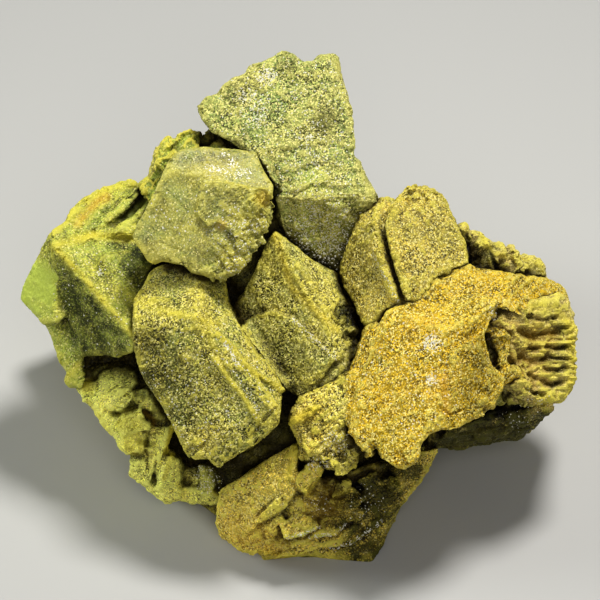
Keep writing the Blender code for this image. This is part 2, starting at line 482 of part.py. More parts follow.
def layer_bmesh(outline, out, slope, depth):
    """One growth layer: its front face, extruded straight back and drawn in a little."""
    middle = sum((Vector(point) for point in outline), Vector((0, 0))) / len(outline)
    bm = bmesh.new()
    corners = []
    for across, up in outline:
        rise = slope[0] * (across - middle.x) + slope[1] * (up - middle.y)
        corners.append(bm.verts.new((across, up, out + rise)))
    front = bm.faces.new(corners)
    made = bmesh.ops.extrude_face_region(bm, geom=[front], use_keep_orig=True)["geom"]
    normal = Vector((-slope[0], -slope[1], 1.0)).normalized()
    centre = Vector((middle.x, middle.y, out))
    for vert in (item for item in made if isinstance(item, bmesh.types.BMVert)):
        vert.co = centre + (vert.co - centre) * ROOT_TAPER - normal * depth
    bmesh.ops.recalc_face_normals(bm, faces=bm.faces)
    wear_edges(bm, LAYER_EDGE)
    return bm


def layered_end(collection, matrix):
    """The thin plates on edge at the right end, stacked downwards."""
    turn = Matrix.Rotation(radians(LAYER_TURN), 4, "Y")
    for index, (right, front) in enumerate(LAYERS):
        bm = bmesh.new()
        bmesh.ops.create_cube(bm, size=1.0)
        size = Vector((right - LAYER_LEFT, LAYER_THICKNESS, front - LAYER_BACK))
        middle = Vector((-size.x / 2, 0.0, -size.z / 2))
        bm.transform(Matrix.Translation(middle) @ Matrix.Diagonal(size).to_4x4())
        bmesh.ops.rotate(bm, verts=bm.verts, cent=(0, 0, 0), matrix=turn.to_3x3())
        corner = Vector((right, LAYER_TOP - LAYER_PITCH * index, front - LAYER_SETBACK))
        bm.transform(Matrix.Translation(corner))
        finish_mesh(f"layer_{index}", bm, matrix, collection)


def crumbled_edges(collection, matrix):
    """Little cubes broken out of ragged crystal edges, each sunk into what it grows from."""
    rng = random.Random(CUBE_SEED)
    for number, edge in enumerate(CRUMBLED_EDGES):
        path = [Vector(point) for point in edge["path"]]
        for index in range(edge["count"]):
            along = index / max(edge["count"] - 1, 1) * (len(path) - 1)
            start = min(int(along), len(path) - 2)
            place = path[start].lerp(path[start + 1], along - start)
            place += Vector([rng.uniform(-CUBE_SCATTER, CUBE_SCATTER) for _ in range(3)])
            size = rng.uniform(*edge["size"])
            bm = bmesh.new()
            bmesh.ops.create_cube(bm, size=size)
            turn = Matrix.Rotation(rng.uniform(*CUBE_YAW), 4, "Z")
            turn @= Matrix.Rotation(rng.uniform(*CUBE_TIP), 4, "X")
            bm.transform(Matrix.Translation(place) @ turn)
            finish_mesh(f"cube_{number}_{index}", bm, matrix, collection)


def rock_core(rings, name, collection):
    """Massive rock that carries the crystals, as the hull of its rings of corners."""
    points = [(across, back, height) for height, ring in rings.items() for across, back in ring]
    return finish_mesh(name, convex_bmesh(points), base_to_world(), collection)


def back_crystals(collection):
    """Blocky crystals of the hidden sides, each a box with its edges cut off."""
    for index, (place, turn, size) in enumerate(BACK_CRYSTALS):
        bm = bmesh.new()
        bmesh.ops.create_cube(bm, size=1.0)
        bm.transform(Matrix.Diagonal(Vector(size)).to_4x4())
        wear_edges(bm, BACK_EDGE)
        yaw, tip, roll = (radians(angle) for angle in turn)
        stand = Matrix.Rotation(yaw, 4, "Z")
        stand @= Matrix.Rotation(tip, 4, "X") @ Matrix.Rotation(roll, 4, "Y")
        finish_mesh(f"back_crystal_{index}", bm, base_to_world() @ Matrix.Translation(place) @ stand,
                    collection)


def outer_shell(bm):
    """Deletes sealed hollows left between joined crystals, keeping the outermost surface."""
    unseen = set(bm.faces)
    islands = []
    while unseen:
        stack = [unseen.pop()]
        island = list(stack)
        while stack:
            for edge in stack.pop().edges:
                for face in edge.link_faces:
                    if face in unseen:
                        unseen.remove(face)
                        island.append(face)
                        stack.append(face)
        islands.append(island)
    islands.sort(key=lambda island: sum(face.calc_area() for face in island))
    for island in islands[:-1]:
        bmesh.ops.delete(bm, geom=island, context="FACES")


def mineral_material():
    material = bpy.data.materials.new("olive_heulandite")
    material.use_nodes = True
    shader = material.node_tree.nodes["Principled BSDF"]
    shader.inputs["Base Color"].default_value = OLIVE
    shader.inputs["Roughness"].default_value = MINERAL_ROUGHNESS
    shader.inputs["Metallic"].default_value = 0.0
    return material


def build():
    clear_scene()
    scene = bpy.context.scene
    specimen = bpy.data.collections.new("heulandite_specimen")
    growths = bpy.data.collections.new("growths")
    cutters = bpy.data.collections.new("cutters")
    for collection in (specimen, growths, cutters):
        scene.collection.children.link(collection)

    matrix = display_to_world()
    for name, group in GROUPS.items():
        for index, crystal in enumerate(group.get("crystals", [])):
            finish_mesh(f"{name}_crystal_{index}", crystal_bmesh(**crystal), matrix, growths)
        for index, lump in enumerate(group.get("lumps", [])):
            finish_mesh(f"{name}_lump_{index}", lump_bmesh(**lump), matrix, growths)
        for index, layer in enumerate(group.get("layers", [])):
            finish_mesh(f"{name}_layer_{index}", layer_bmesh(**layer), matrix, growths)
    layered_end(growths, matrix)
    crumbled_edges(growths, matrix)
    back_crystals(growths)
    rock_core(CORES[1], "rock_shoulder", growths)
    core = rock_core(CORES[0], "rock_core", cutters)

    join = core.modifiers.new("join_growths", "BOOLEAN")
    join.operation = "UNION"
    join.solver = "EXACT"
    join.operand_type = "COLLECTION"
    join.collection = growths

    bm = bmesh.new()
    bmesh.ops.create_cube(bm, size=1.0)
    bm.transform(Matrix.Translation((0, 0, -GROUND[2] / 2)) @ Matrix.Diagonal(Vector(GROUND)).to_4x4())
    trim = core.modifiers.new("trim_base", "BOOLEAN")
    trim.operation = "DIFFERENCE"
    trim.solver = "EXACT"
    trim.object = finish_mesh("ground_cutter", bm, Matrix.Scale(MM, 4), cutters)

    bm = bmesh.new()
    bm.from_object(core, bpy.context.evaluated_depsgraph_get())
    outer_shell(bm)
    bmesh.ops.dissolve_degenerate(bm, dist=WELD * MM, edges=bm.edges)
    mesh = bpy.data.meshes.new("heulandite_cluster")
    bm.to_mesh(mesh)
    bm.free()
    mesh.materials.clear()
    mesh.materials.append(mineral_material())
    specimen.objects.link(bpy.data.objects.new("heulandite_cluster", mesh))


build()
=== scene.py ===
from itertools import product
from math import radians

import bmesh
import bpy
import numpy as np
from mathutils import Matrix, Vector
from mathutils.bvhtree import BVHTree


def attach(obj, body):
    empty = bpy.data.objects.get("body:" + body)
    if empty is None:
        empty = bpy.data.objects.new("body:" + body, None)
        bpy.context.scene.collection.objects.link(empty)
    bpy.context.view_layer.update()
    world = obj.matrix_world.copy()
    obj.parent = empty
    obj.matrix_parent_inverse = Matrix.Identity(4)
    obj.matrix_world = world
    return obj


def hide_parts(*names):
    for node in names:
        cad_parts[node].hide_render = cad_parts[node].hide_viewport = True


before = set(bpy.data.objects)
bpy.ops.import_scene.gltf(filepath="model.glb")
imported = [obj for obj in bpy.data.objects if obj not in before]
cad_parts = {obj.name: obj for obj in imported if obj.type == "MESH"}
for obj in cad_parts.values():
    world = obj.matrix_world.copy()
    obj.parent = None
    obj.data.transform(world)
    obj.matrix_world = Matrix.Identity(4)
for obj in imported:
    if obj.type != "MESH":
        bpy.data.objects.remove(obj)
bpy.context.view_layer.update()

# Shapes are laid out on the display side in mm: across, up, and out towards whoever looks at it.
layout = {
    "lean": 45,                  # degrees that the display side leans back
    "middle": (0.2, -7.6, 29.2),  # mm, where its middle stands over the floor
    "flare": 0.003,              # a crystal widens by this share per mm towards its front
    "rootTaper": 0.86,           # lumps and layers narrow towards their root
    "headroom": 0.2,             # mm that a crystal is drawn too tall before its faces are cut
    "sharp": 28,                 # degrees, edges that turn by more are worn
    "edgeShare": 0.5,            # crystal edges are worn by this share of their own edge size
    "lumpEdge": 0.15,            # mm worn off the edges of lumps, layers and hidden crystals
    "layerEdge": 0.12,
    "backEdge": 1.0,
}
baseToWorld = Matrix.Scale(0.001, 4) @ Matrix.Translation((layout["middle"][0], layout["middle"][1], 0))
displayToWorld = (baseToWorld @ Matrix.Translation((0, 0, layout["middle"][2]))
                  @ Matrix.Rotation(radians(90 - layout["lean"]), 4, "X"))
worldToDisplay = displayToWorld.inverted()
baseToDisplay = worldToDisplay @ baseToWorld
floorPoint = worldToDisplay @ Vector((0, 0, 0))
floorNormal = (worldToDisplay.to_3x3() @ Vector((0, 0, -1))).normalized()


def onlyVerts(geometry):
    return [g for g in geometry if isinstance(g, bmesh.types.BMVert)]


def onlyEdges(geometry):
    return [g for g in geometry if isinstance(g, bmesh.types.BMEdge)]


def cutAt(bm, point, normal):
    # cuts off what lies beyond a plane and gives the open edges
    everything = bm.verts[:] + bm.edges[:] + bm.faces[:]
    return onlyEdges(bmesh.ops.bisect_plane(bm, geom=everything, plane_co=point, plane_no=normal,
                                            clear_outer=True)["geom_cut"])


def wearEdges(bm, width):
    bm.normal_update()
    sharp = [e for e in bm.edges if e.calc_face_angle_signed(0) > radians(layout["sharp"])]
    bmesh.ops.bevel(bm, geom=sharp, offset=width, segments=1, profile=0.5, affect="EDGES",
                    clamp_overlap=True, material=-1)


def hullOf(points):
    bm = bmesh.new()
    for point in points:
        bm.verts.new(point)
    hull = bmesh.ops.convex_hull(bm, input=bm.verts)
    bmesh.ops.delete(bm, geom=onlyVerts(hull["geom_interior"]), context="VERTS")
    return bm


def lump(corners, root):
    # convex, with the same corners drawn in at its root
    middle = sum((Vector(c) for c in corners), Vector()) / len(corners)
    points = [Vector(c) for c in corners]
    for corner in corners:
        drawnIn = middle + (Vector(corner) - middle) * layout["rootTaper"]
        points.append(Vector((drawnIn.x, drawnIn.y, root)))
    bm = hullOf(points)
    wearEdges(bm, layout["lumpEdge"])
    return bm


def crystal(outline, faces, root, edge):
    # a prism on its outline, its top cut by the plane through each face's three corners
    middle = sum((Vector(p) for p in outline), Vector((0, 0))) / len(outline)
    height = max(c[2] for face in faces for c in face) + layout["headroom"] - root
    shrink = 1 - height * layout["flare"]
    bm = bmesh.new()
    ring = [middle + (Vector(p) - middle) * shrink for p in outline]
    floorFace = bm.faces.new([bm.verts.new((p.x, p.y, root)) for p in ring])
    made = bmesh.ops.extrude_face_region(bm, geom=[floorFace], use_keep_orig=True)["geom"]
    for vert in onlyVerts(made):
        flat = middle + (vert.co.xy - middle) / shrink
        vert.co = (flat.x, flat.y, root + height)
    bmesh.ops.recalc_face_normals(bm, faces=bm.faces)
    for face in faces:
        a, b, c = (Vector(corner) for corner in face)
        normal = (b - a).cross(c - a).normalized()
        if normal.z < 0:
            normal.negate()
        bmesh.ops.contextual_create(bm, geom=cutAt(bm, a, normal))
    wearEdges(bm, edge * layout["edgeShare"])
    return bm


def layer(outline, out, slope, depth):
    # a thin growth layer: its front face, extruded straight back and drawn in a little
    middle = sum((Vector(p) for p in outline), Vector((0, 0))) / len(outline)
    bm = bmesh.new()
    corners = []
    for across, up in outline:
        rise = slope[0] * (across - middle.x) + slope[1] * (up - middle.y)
        corners.append(bm.verts.new((across, up, out + rise)))
    made = bmesh.ops.extrude_face_region(bm, geom=[bm.faces.new(corners)], use_keep_orig=True)["geom"]
    normal = Vector((-slope[0], -slope[1], 1)).normalized()
    centre = Vector((middle.x, middle.y, out))
    for vert in onlyVerts(made):
        vert.co = centre + (vert.co - centre) * layout["rootTaper"] - normal * depth
    bmesh.ops.recalc_face_normals(bm, faces=bm.faces)
    wearEdges(bm, layout["layerEdge"])
    return bm


def block(size, matrix, edge=0):
    # a box, with worn edges if it is given an edge size
    bm = bmesh.new()
    bmesh.ops.create_cube(bm, size=1, matrix=Matrix.Diagonal(Vector(size)).to_4x4())
    if edge:
        wearEdges(bm, edge)
    bm.transform(matrix)
    return bm


crumb = {
    "strays": 0.5,               # mm that a crumb lies off its path at most
    "turn": (0.2, 0.7),          # radians
    "tip": (0.2, 0.9),
    "stretch": (0.75, 1.15),     # of its size, each way
}


def crumbs(path, count, size, seed):
    # little cubes broken out of a ragged edge, their size in mm anywhere between the two given
    chance = np.random.RandomState(seed)
    corners = [Vector(p) for p in path]
    cubes = []
    for index in range(count):
        along = index / max(count - 1, 1) * (len(corners) - 1)
        start = min(int(along), len(corners) - 2)
        place = corners[start].lerp(corners[start + 1], along - start)
        place += Vector(chance.uniform(-crumb["strays"], crumb["strays"], 3))
        side = chance.uniform(*size)
        turn = (Matrix.Rotation(chance.uniform(*crumb["turn"]), 4, "Z")
                @ Matrix.Rotation(chance.uniform(*crumb["tip"]), 4, "X"))
        stretch = chance.uniform(*crumb["stretch"], 3) * side
        cubes.append(block(stretch, Matrix.Translation(place) @ turn))
    return cubes


def hiddenCrystal(place, turn, size):
    # a worn block, placed over the floor instead of on the display side
    yaw, tip, roll = (radians(a) for a in turn)
    stand = (Matrix.Rotation(yaw, 4, "Z") @ Matrix.Rotation(tip, 4, "X") @ Matrix.Rotation(roll, 4, "Y"))
    return block(size, baseToDisplay @ Matrix.Translation(place) @ stand, layout["backEdge"])


def rock(rings):
    # the hull of a few rings, each at its height
    bm = hullOf([(across, back, height) for height, ring in rings for across, back in ring])
    bm.transform(baseToDisplay)
    return bm


def steadyChance(cells, seed):
    # a number from 0 to 1 for each whole-number cell, the same on every run
    x, y, z = (cells[:, k].astype(np.int64) for k in range(3))
    n = (x * 73856093) ^ (y * 19349663) ^ (z * 83492791) ^ (seed * 83492791 + 1013904223)
    n = (n ^ (n >> 13)) * 1274126177
    n = (n ^ (n >> 15)) * 668265263
    return ((n ^ (n >> 16)) & 0xFFFFFF) / 16777215.0


tiltedGrid = np.array(Matrix.Rotation(0.9, 3, Vector((0.5, 1, 0.3))))


def softNoise(points, size, seed):
    # smooth noise from -1 to 1, with lumps about as wide as the size in mm
    p = points @ tiltedGrid / size
    cell = np.floor(p)
    part = p - cell
    part = part * part * (3 - 2 * part)
    total = np.zeros(len(p))
    for corner in product((0, 1), repeat=3):
        weight = np.prod(np.where(corner, part, 1 - part), axis=1)
        total += weight * steadyChance(cell + corner, seed)
    return total * 2 - 1


def cellNoise(points, size, turn, seed):
    # square-cornered cells: each point's cell as a chance number, how deep it lies inside it, and
    # its height on that cell's own tilted plane
    turned = (Matrix.Rotation(radians(turn[0]), 3, "X") @ Matrix.Rotation(radians(turn[1]), 3, "Y")
              @ Matrix.Rotation(radians(turn[2]), 3, "Z"))
    p = points @ np.array(turned) / np.array(size)
    cell = np.floor(p)
    nearest = np.full(len(p), 9.0)
    second = np.full(len(p), 9.0)
    value = np.zeros(len(p))
    tilt = np.zeros(len(p))
    for shift in product((-1, 0, 1), repeat=3):
        other = cell + shift
        spot = other + 0.2 + 0.6 * np.stack([steadyChance(other, seed + k) for k in (1, 2, 3)], axis=1)
        gap = np.abs(spot - p).max(axis=1)
        closer = gap < nearest
        second = np.where(closer, nearest, np.minimum(second, gap))
        value = np.where(closer, steadyChance(other, seed), value)
        lean = np.stack([steadyChance(other, seed + k) for k in (4, 5, 6)], axis=1) * 2 - 1
        tilt = np.where(closer, np.sum(lean * (p - spot), axis=1), tilt)
        nearest = np.where(closer, gap, nearest)
    return value, np.clip((second - nearest) * 4, 0, 1), tilt


def easeIn(x):
    # from 0 to 1 with soft ends
    x = np.clip(x, 0, 1)
    return x * x * (3 - 2 * x)


def nearSpots(points, spots):
    # 1 at the middle of each round spot (across, up, radius), fading to 0 past its edge
    reach = np.zeros(len(points))
    for across, up, radius in spots:
        gap = np.hypot(points[:, 0] - across, points[:, 1] - up)
        reach = np.maximum(reach, easeIn(1.5 - gap / radius))
    return reach


def nearPath(points, path, width):
    # 1 along the path, fading to 0 at its width
    gap = np.full(len(points), 99.0)
    flat = points[:, :2]
    for start, end in zip(path, path[1:]):
        a = np.array(start[:2], float)
        run = np.array(end[:2], float) - a
        along = np.clip((flat - a) @ run / max(run @ run, 1e-9), 0, 1)
        gap = np.minimum(gap, np.linalg.norm(flat - a - along[:, None] * run, axis=1))
    return easeIn(1 - gap / width)


def acrossBands(points, along, pitch, waver, wander, seed):
    # from 0 to 1 across each of a stack of wavering bands
    across = points @ np.array(Vector(along).normalized()) / pitch
    across = across + softNoise(points, waver, seed) * wander
    return across - np.floor(across)


# Kinds of relief, with sizes, pitches and widths in mm and turns in degrees. Each gives its height,
# the only spots where it lies, and its shape from about -1 to 1. Its seed is its place in the list.
def soft(size, height, spots=()):
    return height, spots, lambda points, seed, rim: softNoise(points, size, seed)


def cells(size, turn, height, spots=()):
    def shape(points, seed, rim):
        value, inside, _ = cellNoise(points, size, turn, seed)
        return (value * 2 - 1) - (1 - inside) * 0.5                  # seams lie lower
    return height, spots, shape


def facets(size, turn, height, spots=()):
    def shape(points, seed, rim):
        # each cell a little plane of its own, with fine seams
        value, inside, tilt = cellNoise(points, size, turn, seed)
        return np.clip(tilt * 1.6 + (value - 0.5), -1.2, 1.2) - (1 - inside) * 0.15
    return height, spots, shape


def steps(along, pitch, height, spots=()):
    def shape(points, seed, rim):
        part = acrossBands(points, along, pitch, 4, 0.6, seed)
        return np.where(part < 0.82, part / 0.82, (1 - part) / 0.18) - 0.5   # a slow rise, a quick drop
    return height, spots, shape


def lines(along, pitch, height, spots=(), waver=3, wander=0.3):
    def shape(points, seed, rim):
        part = np.abs(acrossBands(points, along, pitch, waver, wander, seed) * 2 - 1) * 2 - 1
        return part * (0.6 + 0.4 * softNoise(points, 2.0, seed + 7))         # deeper here, fainter there
    return height, spots, shape


def trace(path, width, height):
    def shape(points, seed, rim):
        # from half its height to all of it along the way
        return nearPath(points, path, width) * (0.75 + 0.25 * softNoise(points, 0.8, seed))
    return height, (), shape


def pits(size, height, rare, spots):
    def shape(points, seed, rim):
        value, inside, _ = cellNoise(points, (size,) * 3, (17, 23, 31), seed)
        return -np.where(value > rare, inside, 0)                    # in cells with a number above rare
    return height, spots, shape


def chips(size, height):
    def shape(points, seed, rim):
        # bites out of the rims, in six cells of ten
        value = cellNoise(points, size, (12, 34, 20), seed)[0]
        return -rim * np.where(value > 0.4, 0.3 + 0.7 * value, 0)
    return height, (), shape


def reliefOf(points, rows, rim):
    # how far each vertex moves out, in mm
    offset = np.zeros(len(points))
    for seed, (height, spots, shape) in enumerate(rows):
        part = shape(points, seed, rim)
        if spots:
            part = part * nearSpots(points, spots)
        offset += part * height
    return offset


def paintOf(points, rows):
    # spots are (across, up, radius, amount) and paths are (path, width, amount)
    amount = np.zeros(len(points))
    for row in rows:
        if len(row) == 3:
            reach = nearPath(points, row[0], row[1]) * row[2]
        else:
            reach = nearSpots(points, [row[:3]]) * row[3]
        amount = np.where(np.abs(reach) > np.abs(amount), reach, amount)
    return np.clip(amount * (1 + 0.5 * softNoise(points, 1.0, 5)), -1, 2)    # unevenly laid on


surface = {
    "coarser": 1.0,   # times each piece's voxel
    "nearReach": 0.6,            # mm over which a vertex is held against its neighbours
    "wideReach": 5,              # times as many rounds for the wide hollows
    "chippedRim": 0.16,          # mm of bulge where a rim chips fully
    "rimLight": 0.1,              # mm of bulge that gets the full painted rim light
    "fullBulge": 0.8,            # mm of bulge or hollow over the wide reach
    "floorFade": 0.9,            # mm over the floor in which the relief comes in
    "weld": 0.002,               # mm, closer corners are merged
    "gloomReach": 0.008,         # m, how far rays look for whatever blocks the light
    "gloomStart": 0.00012,       # m over the surface where they start
    "gloomRays": 5,              # from each vertex
    "gloomDirections": 97,       # that they take in turn
    "gloomRounds": 5,            # of softening
}


def skinOver(bm, voxel):
    # one closed skin over the overlapping solids
    mesh = bpy.data.meshes.new("skin")
    bm.to_mesh(mesh)
    bm.free()
    holder = bpy.data.objects.new("skin", mesh)
    bpy.context.scene.collection.objects.link(holder)
    remesh = holder.modifiers.new("skin", "REMESH")
    remesh.mode = "VOXEL"
    remesh.voxel_size = voxel
    skin = bpy.data.meshes.new_from_object(holder.evaluated_get(bpy.context.evaluated_depsgraph_get()))
    bpy.data.objects.remove(holder)
    return skin


def arrayOf(items, name, width):
    # a row for each vertex or edge
    values = np.zeros(len(items) * width, dtype=np.int32 if name == "vertices" else np.float32)
    items.foreach_get(name, values)
    return values.reshape(-1, width)


def shapeOf(mesh):
    # places and normals of the vertices, and the two ends of each edge
    return (arrayOf(mesh.vertices, "co", 3).astype(float), arrayOf(mesh.vertices, "normal", 3).astype(float),
            arrayOf(mesh.edges, "vertices", 2))


def softer(values, edges, rounds):
    # the mean of each vertex's neighbours, taken over and over
    values = values.reshape(len(values), -1)
    count = np.bincount(edges.ravel(), minlength=len(values))[:, None]
    for _ in range(rounds):
        total = [np.bincount(edges[:, 0], values[edges[:, 1], k], len(values))
                 + np.bincount(edges[:, 1], values[edges[:, 0], k], len(values))
                 for k in range(values.shape[1])]
        values = (values + np.stack(total, axis=1)) / (count + 1)
    return values


def bulgeOf(points, mean, normals, full):
    # how far each vertex stands out from that mean, 1 where it is a full bulge
    return np.sum((points - mean) * normals, axis=1) / full


def setPaint(mesh, name, values):
    paint = mesh.attributes.new(name, "FLOAT", "POINT")
    paint.data.foreach_set("value", values.astype(np.float32))


def joined(solids):
    whole = bmesh.new()
    for solid in solids:
        bmesh.ops.recalc_face_normals(solid, faces=solid.faces)
        mesh = bpy.data.meshes.new("solid")
        solid.to_mesh(mesh)
        whole.from_mesh(mesh)
        bpy.data.meshes.remove(mesh)
        solid.free()
    return whole


def addRelief(skin, rows, rounds):
    # moves the vertices along their normals, and less close to the floor
    points, normals, edges = shapeOf(skin)
    rim = np.clip(bulgeOf(points, softer(points, edges, rounds), normals, surface["chippedRim"]), 0, 1)
    fromFloor = np.abs((points - np.array(floorPoint)) @ np.array(floorNormal))
    offset = reliefOf(points, rows, rim) * easeIn(fromFloor / surface["floorFade"])
    points += normals * offset[:, None]
    skin.vertices.foreach_set("co", points.astype(np.float32).ravel())


def restFlat(skin):
    # flat cut where the specimen rests, and a count of triangles and open edges
    bm = bmesh.new()
    bm.from_mesh(skin)
    rimEdges = cutAt(bm, floorPoint, floorNormal)
    if rimEdges:
        bmesh.ops.triangle_fill(bm, edges=rimEdges, use_beauty=True, normal=floorNormal)
    bmesh.ops.remove_doubles(bm, verts=bm.verts, dist=surface["weld"])
    bmesh.ops.dissolve_degenerate(bm, dist=surface["weld"] / 2, edges=bm.edges)
    openEdges = sum(1 for e in bm.edges if len(e.link_faces) != 2)
    triangles = sum(len(f.verts) - 2 for f in bm.faces)
    bm.to_mesh(skin)
    bm.free()
    return triangles, openEdges


def paintSkin(skin, spec, rounds):
    # what the looks read: rims for the painted rim light, hollows for the painted shade, and the painted
    # spots
    points, normals, edges = shapeOf(skin)
    near = softer(points, edges, rounds)
    wide = softer(near, edges, rounds * surface["wideReach"])
    setPaint(skin, "rim", np.clip(bulgeOf(points, near, normals, surface["rimLight"]), -1, 1))
    setPaint(skin, "bulge", np.clip(bulgeOf(points, wide, normals, surface["fullBulge"]), -1, 1))
    for paint in ("stain", "paintedSheen", "shade", "glow"):
        setPaint(skin, paint, paintOf(points, spec.get(paint, [])))


def growPiece(name, spec):
    voxel = spec["voxel"] * surface["coarser"]
    rounds = max(int((surface["nearReach"] / voxel) ** 2 * 2), 2)
    skin = skinOver(joined(spec["solids"]), voxel)
    addRelief(skin, spec["relief"], rounds)
    triangles, openEdges = restFlat(skin)
    paintSkin(skin, spec, rounds)
    skin.transform(displayToWorld)
    skin.update()
    skin.name = name
    skin.materials.clear()
    skin.materials.append(mineralLook(**spec["look"]))
    piece = bpy.data.objects.new(name, skin)
    bpy.context.scene.collection.objects.link(piece)
    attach(piece, "root")
    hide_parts("heulandite_cluster")
    print(f"{name}: {triangles} triangles, {openEdges} open edges")
    return piece


def darkenCrevices(pieces):
    # how much of each vertex's outlook the specimen itself blocks close by, kept as painted shade in the
    # crevices
    reach, rays, directions = surface["gloomReach"], surface["gloomRays"], surface["gloomDirections"]
    corners, faces, start = [], [], 0
    for piece in pieces:
        places = arrayOf(piece.data.vertices, "co", 3)
        corners.append(places)
        faces += [[start + v for v in face.vertices] for face in piece.data.polygons]
        start += len(places)
    tree = BVHTree.FromPolygons(np.concatenate(corners).tolist(), faces)
    scatter = np.random.RandomState(4).normal(size=(directions, 3))
    scatter = [Vector(v) for v in scatter / np.linalg.norm(scatter, axis=1)[:, None]]
    for piece in pieces:
        mesh = piece.data
        blocked = np.zeros(len(mesh.vertices))
        turn = 0
        for index, vert in enumerate(mesh.vertices):
            begin = vert.co + vert.normal * surface["gloomStart"]
            for _ in range(rays):
                turn = (turn + 1) % directions
                gap = tree.ray_cast(begin, vert.normal + scatter[turn], reach)[3]
                if gap is not None:
                    blocked[index] += (1 - gap / reach) / rays
        softened = softer(blocked, arrayOf(mesh.edges, "vertices", 2), surface["gloomRounds"])
        setPaint(mesh, "gloom", softened[:, 0])
    print("crevices darkened")


# Pattern scales are cells per metre.
coat = {
    "grains": 6400,              # tiny crystals of the drusy coat
    "patches": 220,              # cool and warm parts
    "clumps": 420,               # stretches where the grains stand out more or less
    "mottle": 2600,              # finer light and dark
    "brokenRim": 700,            # gaps in the lit rims
    "bumps": 1500,
    "bumpHeight": 0.0004,        # m
    "shinyShare": 0.1,           # share of the grains that shine
}


def addNode(tree, kind, **settings):
    node = tree.nodes.new(kind)
    for key, value in settings.items():
        setattr(node, key, value)
    return node


def plug(tree, source, target):
    # a socket is linked, anything else is set as the value
    if isinstance(source, bpy.types.NodeSocket):
        tree.links.new(source, target)
    elif source is not None:
        target.default_value = source


def plugAll(tree, node, values):
    for label, value in values.items():
        plug(tree, value, node.inputs[label])
    return node.outputs


def maths(tree, operation, a, b=None, clamp=False):
    node = addNode(tree, "ShaderNodeMath", operation=operation, use_clamp=clamp)
    return plugAll(tree, node, {0: a, 1: b})[0]


def vectorMaths(tree, operation, a, label, b):
    node = addNode(tree, "ShaderNodeVectorMath", operation=operation)
    return plugAll(tree, node, {0: a, label: b})[0]


def mixed(tree, share, a, b, blend="MIX"):
    node = addNode(tree, "ShaderNodeMix", data_type="RGBA", blend_type=blend, clamp_factor=True)
    return plugAll(tree, node, {0: share, 6: a, 7: b})[2]


def tinted(tree, share, colour, tint):
    # the colour, multiplied by the tint where the share is 1
    return mixed(tree, share, colour, mixed(tree, 1.0, colour, tint, "MULTIPLY"))


def spread(tree, value, low, high, toLow=0.0, toHigh=1.0):
    node = addNode(tree, "ShaderNodeMapRange", clamp=True, interpolation_type="SMOOTHSTEP")
    return plugAll(tree, node, dict(enumerate((value, low, high, toLow, toHigh))))[0]


def noise(tree, scale, detail, roughness=0.5):
    place = addNode(tree, "ShaderNodeTexCoord").outputs["Object"]
    return plugAll(tree, addNode(tree, "ShaderNodeTexNoise"), {
        "Vector": place, "Scale": scale, "Detail": detail, "Roughness": roughness})[0]


def paintValue(tree, name):
    return addNode(tree, "ShaderNodeAttribute", attribute_type="GEOMETRY", attribute_name=name).outputs["Fac"]


def newGroup(name, takes, gives):
    tree = bpy.data.node_groups.new(name, "ShaderNodeTree")
    kinds = {"value": "NodeSocketFloat", "colour": "NodeSocketColor", "vector": "NodeSocketVector"}
    for label, kind, start in takes:
        socket = tree.interface.new_socket(label, in_out="INPUT", socket_type=kinds[kind])
        if start is not None:
            socket.default_value = start
    for label, kind in gives:
        tree.interface.new_socket(label, in_out="OUTPUT", socket_type=kinds[kind])
    return tree, addNode(tree, "NodeGroupInput").outputs, addNode(tree, "NodeGroupOutput").inputs


def useGroup(tree, group, values):
    return plugAll(tree, addNode(tree, "ShaderNodeGroup", node_tree=group), values)


def drusyGrainGroup():
    # tiny crystals that coat a face: chance numbers and one tilt for each
    tree, takes, gives = newGroup("drusyGrain", [
        ("Grains Per Metre", "value", coat["grains"]), ("Tilt", "value", 0.6)],
        [("Chance", "value"), ("Fine Chance", "value"), ("Hue Chance", "value"), ("Facet Normal", "vector")])
    grains = addNode(tree, "ShaderNodeTexVoronoi", feature="F1")
    plug(tree, addNode(tree, "ShaderNodeTexCoord").outputs["Object"], grains.inputs["Vector"])
    plug(tree, takes["Grains Per Metre"], grains.inputs["Scale"])
    chances = plugAll(tree, addNode(tree, "ShaderNodeSeparateColor"), {0: grains.outputs["Color"]})
    for output, label in zip(chances, ("Chance", "Fine Chance", "Hue Chance")):
        plug(tree, output, gives[label])
    centred = vectorMaths(tree, "SUBTRACT", grains.outputs["Color"], 1, (0.5, 0.5, 0.5))
    leaning = vectorMaths(tree, "SCALE", centred, "Scale", takes["Tilt"])
    both = vectorMaths(tree, "ADD", leaning, 1, addNode(tree, "ShaderNodeNewGeometry").outputs["Normal"])
    unit = plugAll(tree, addNode(tree, "ShaderNodeVectorMath", operation="NORMALIZE"), {0: both})[0]
    plug(tree, unit, gives["Facet Normal"])
    return tree


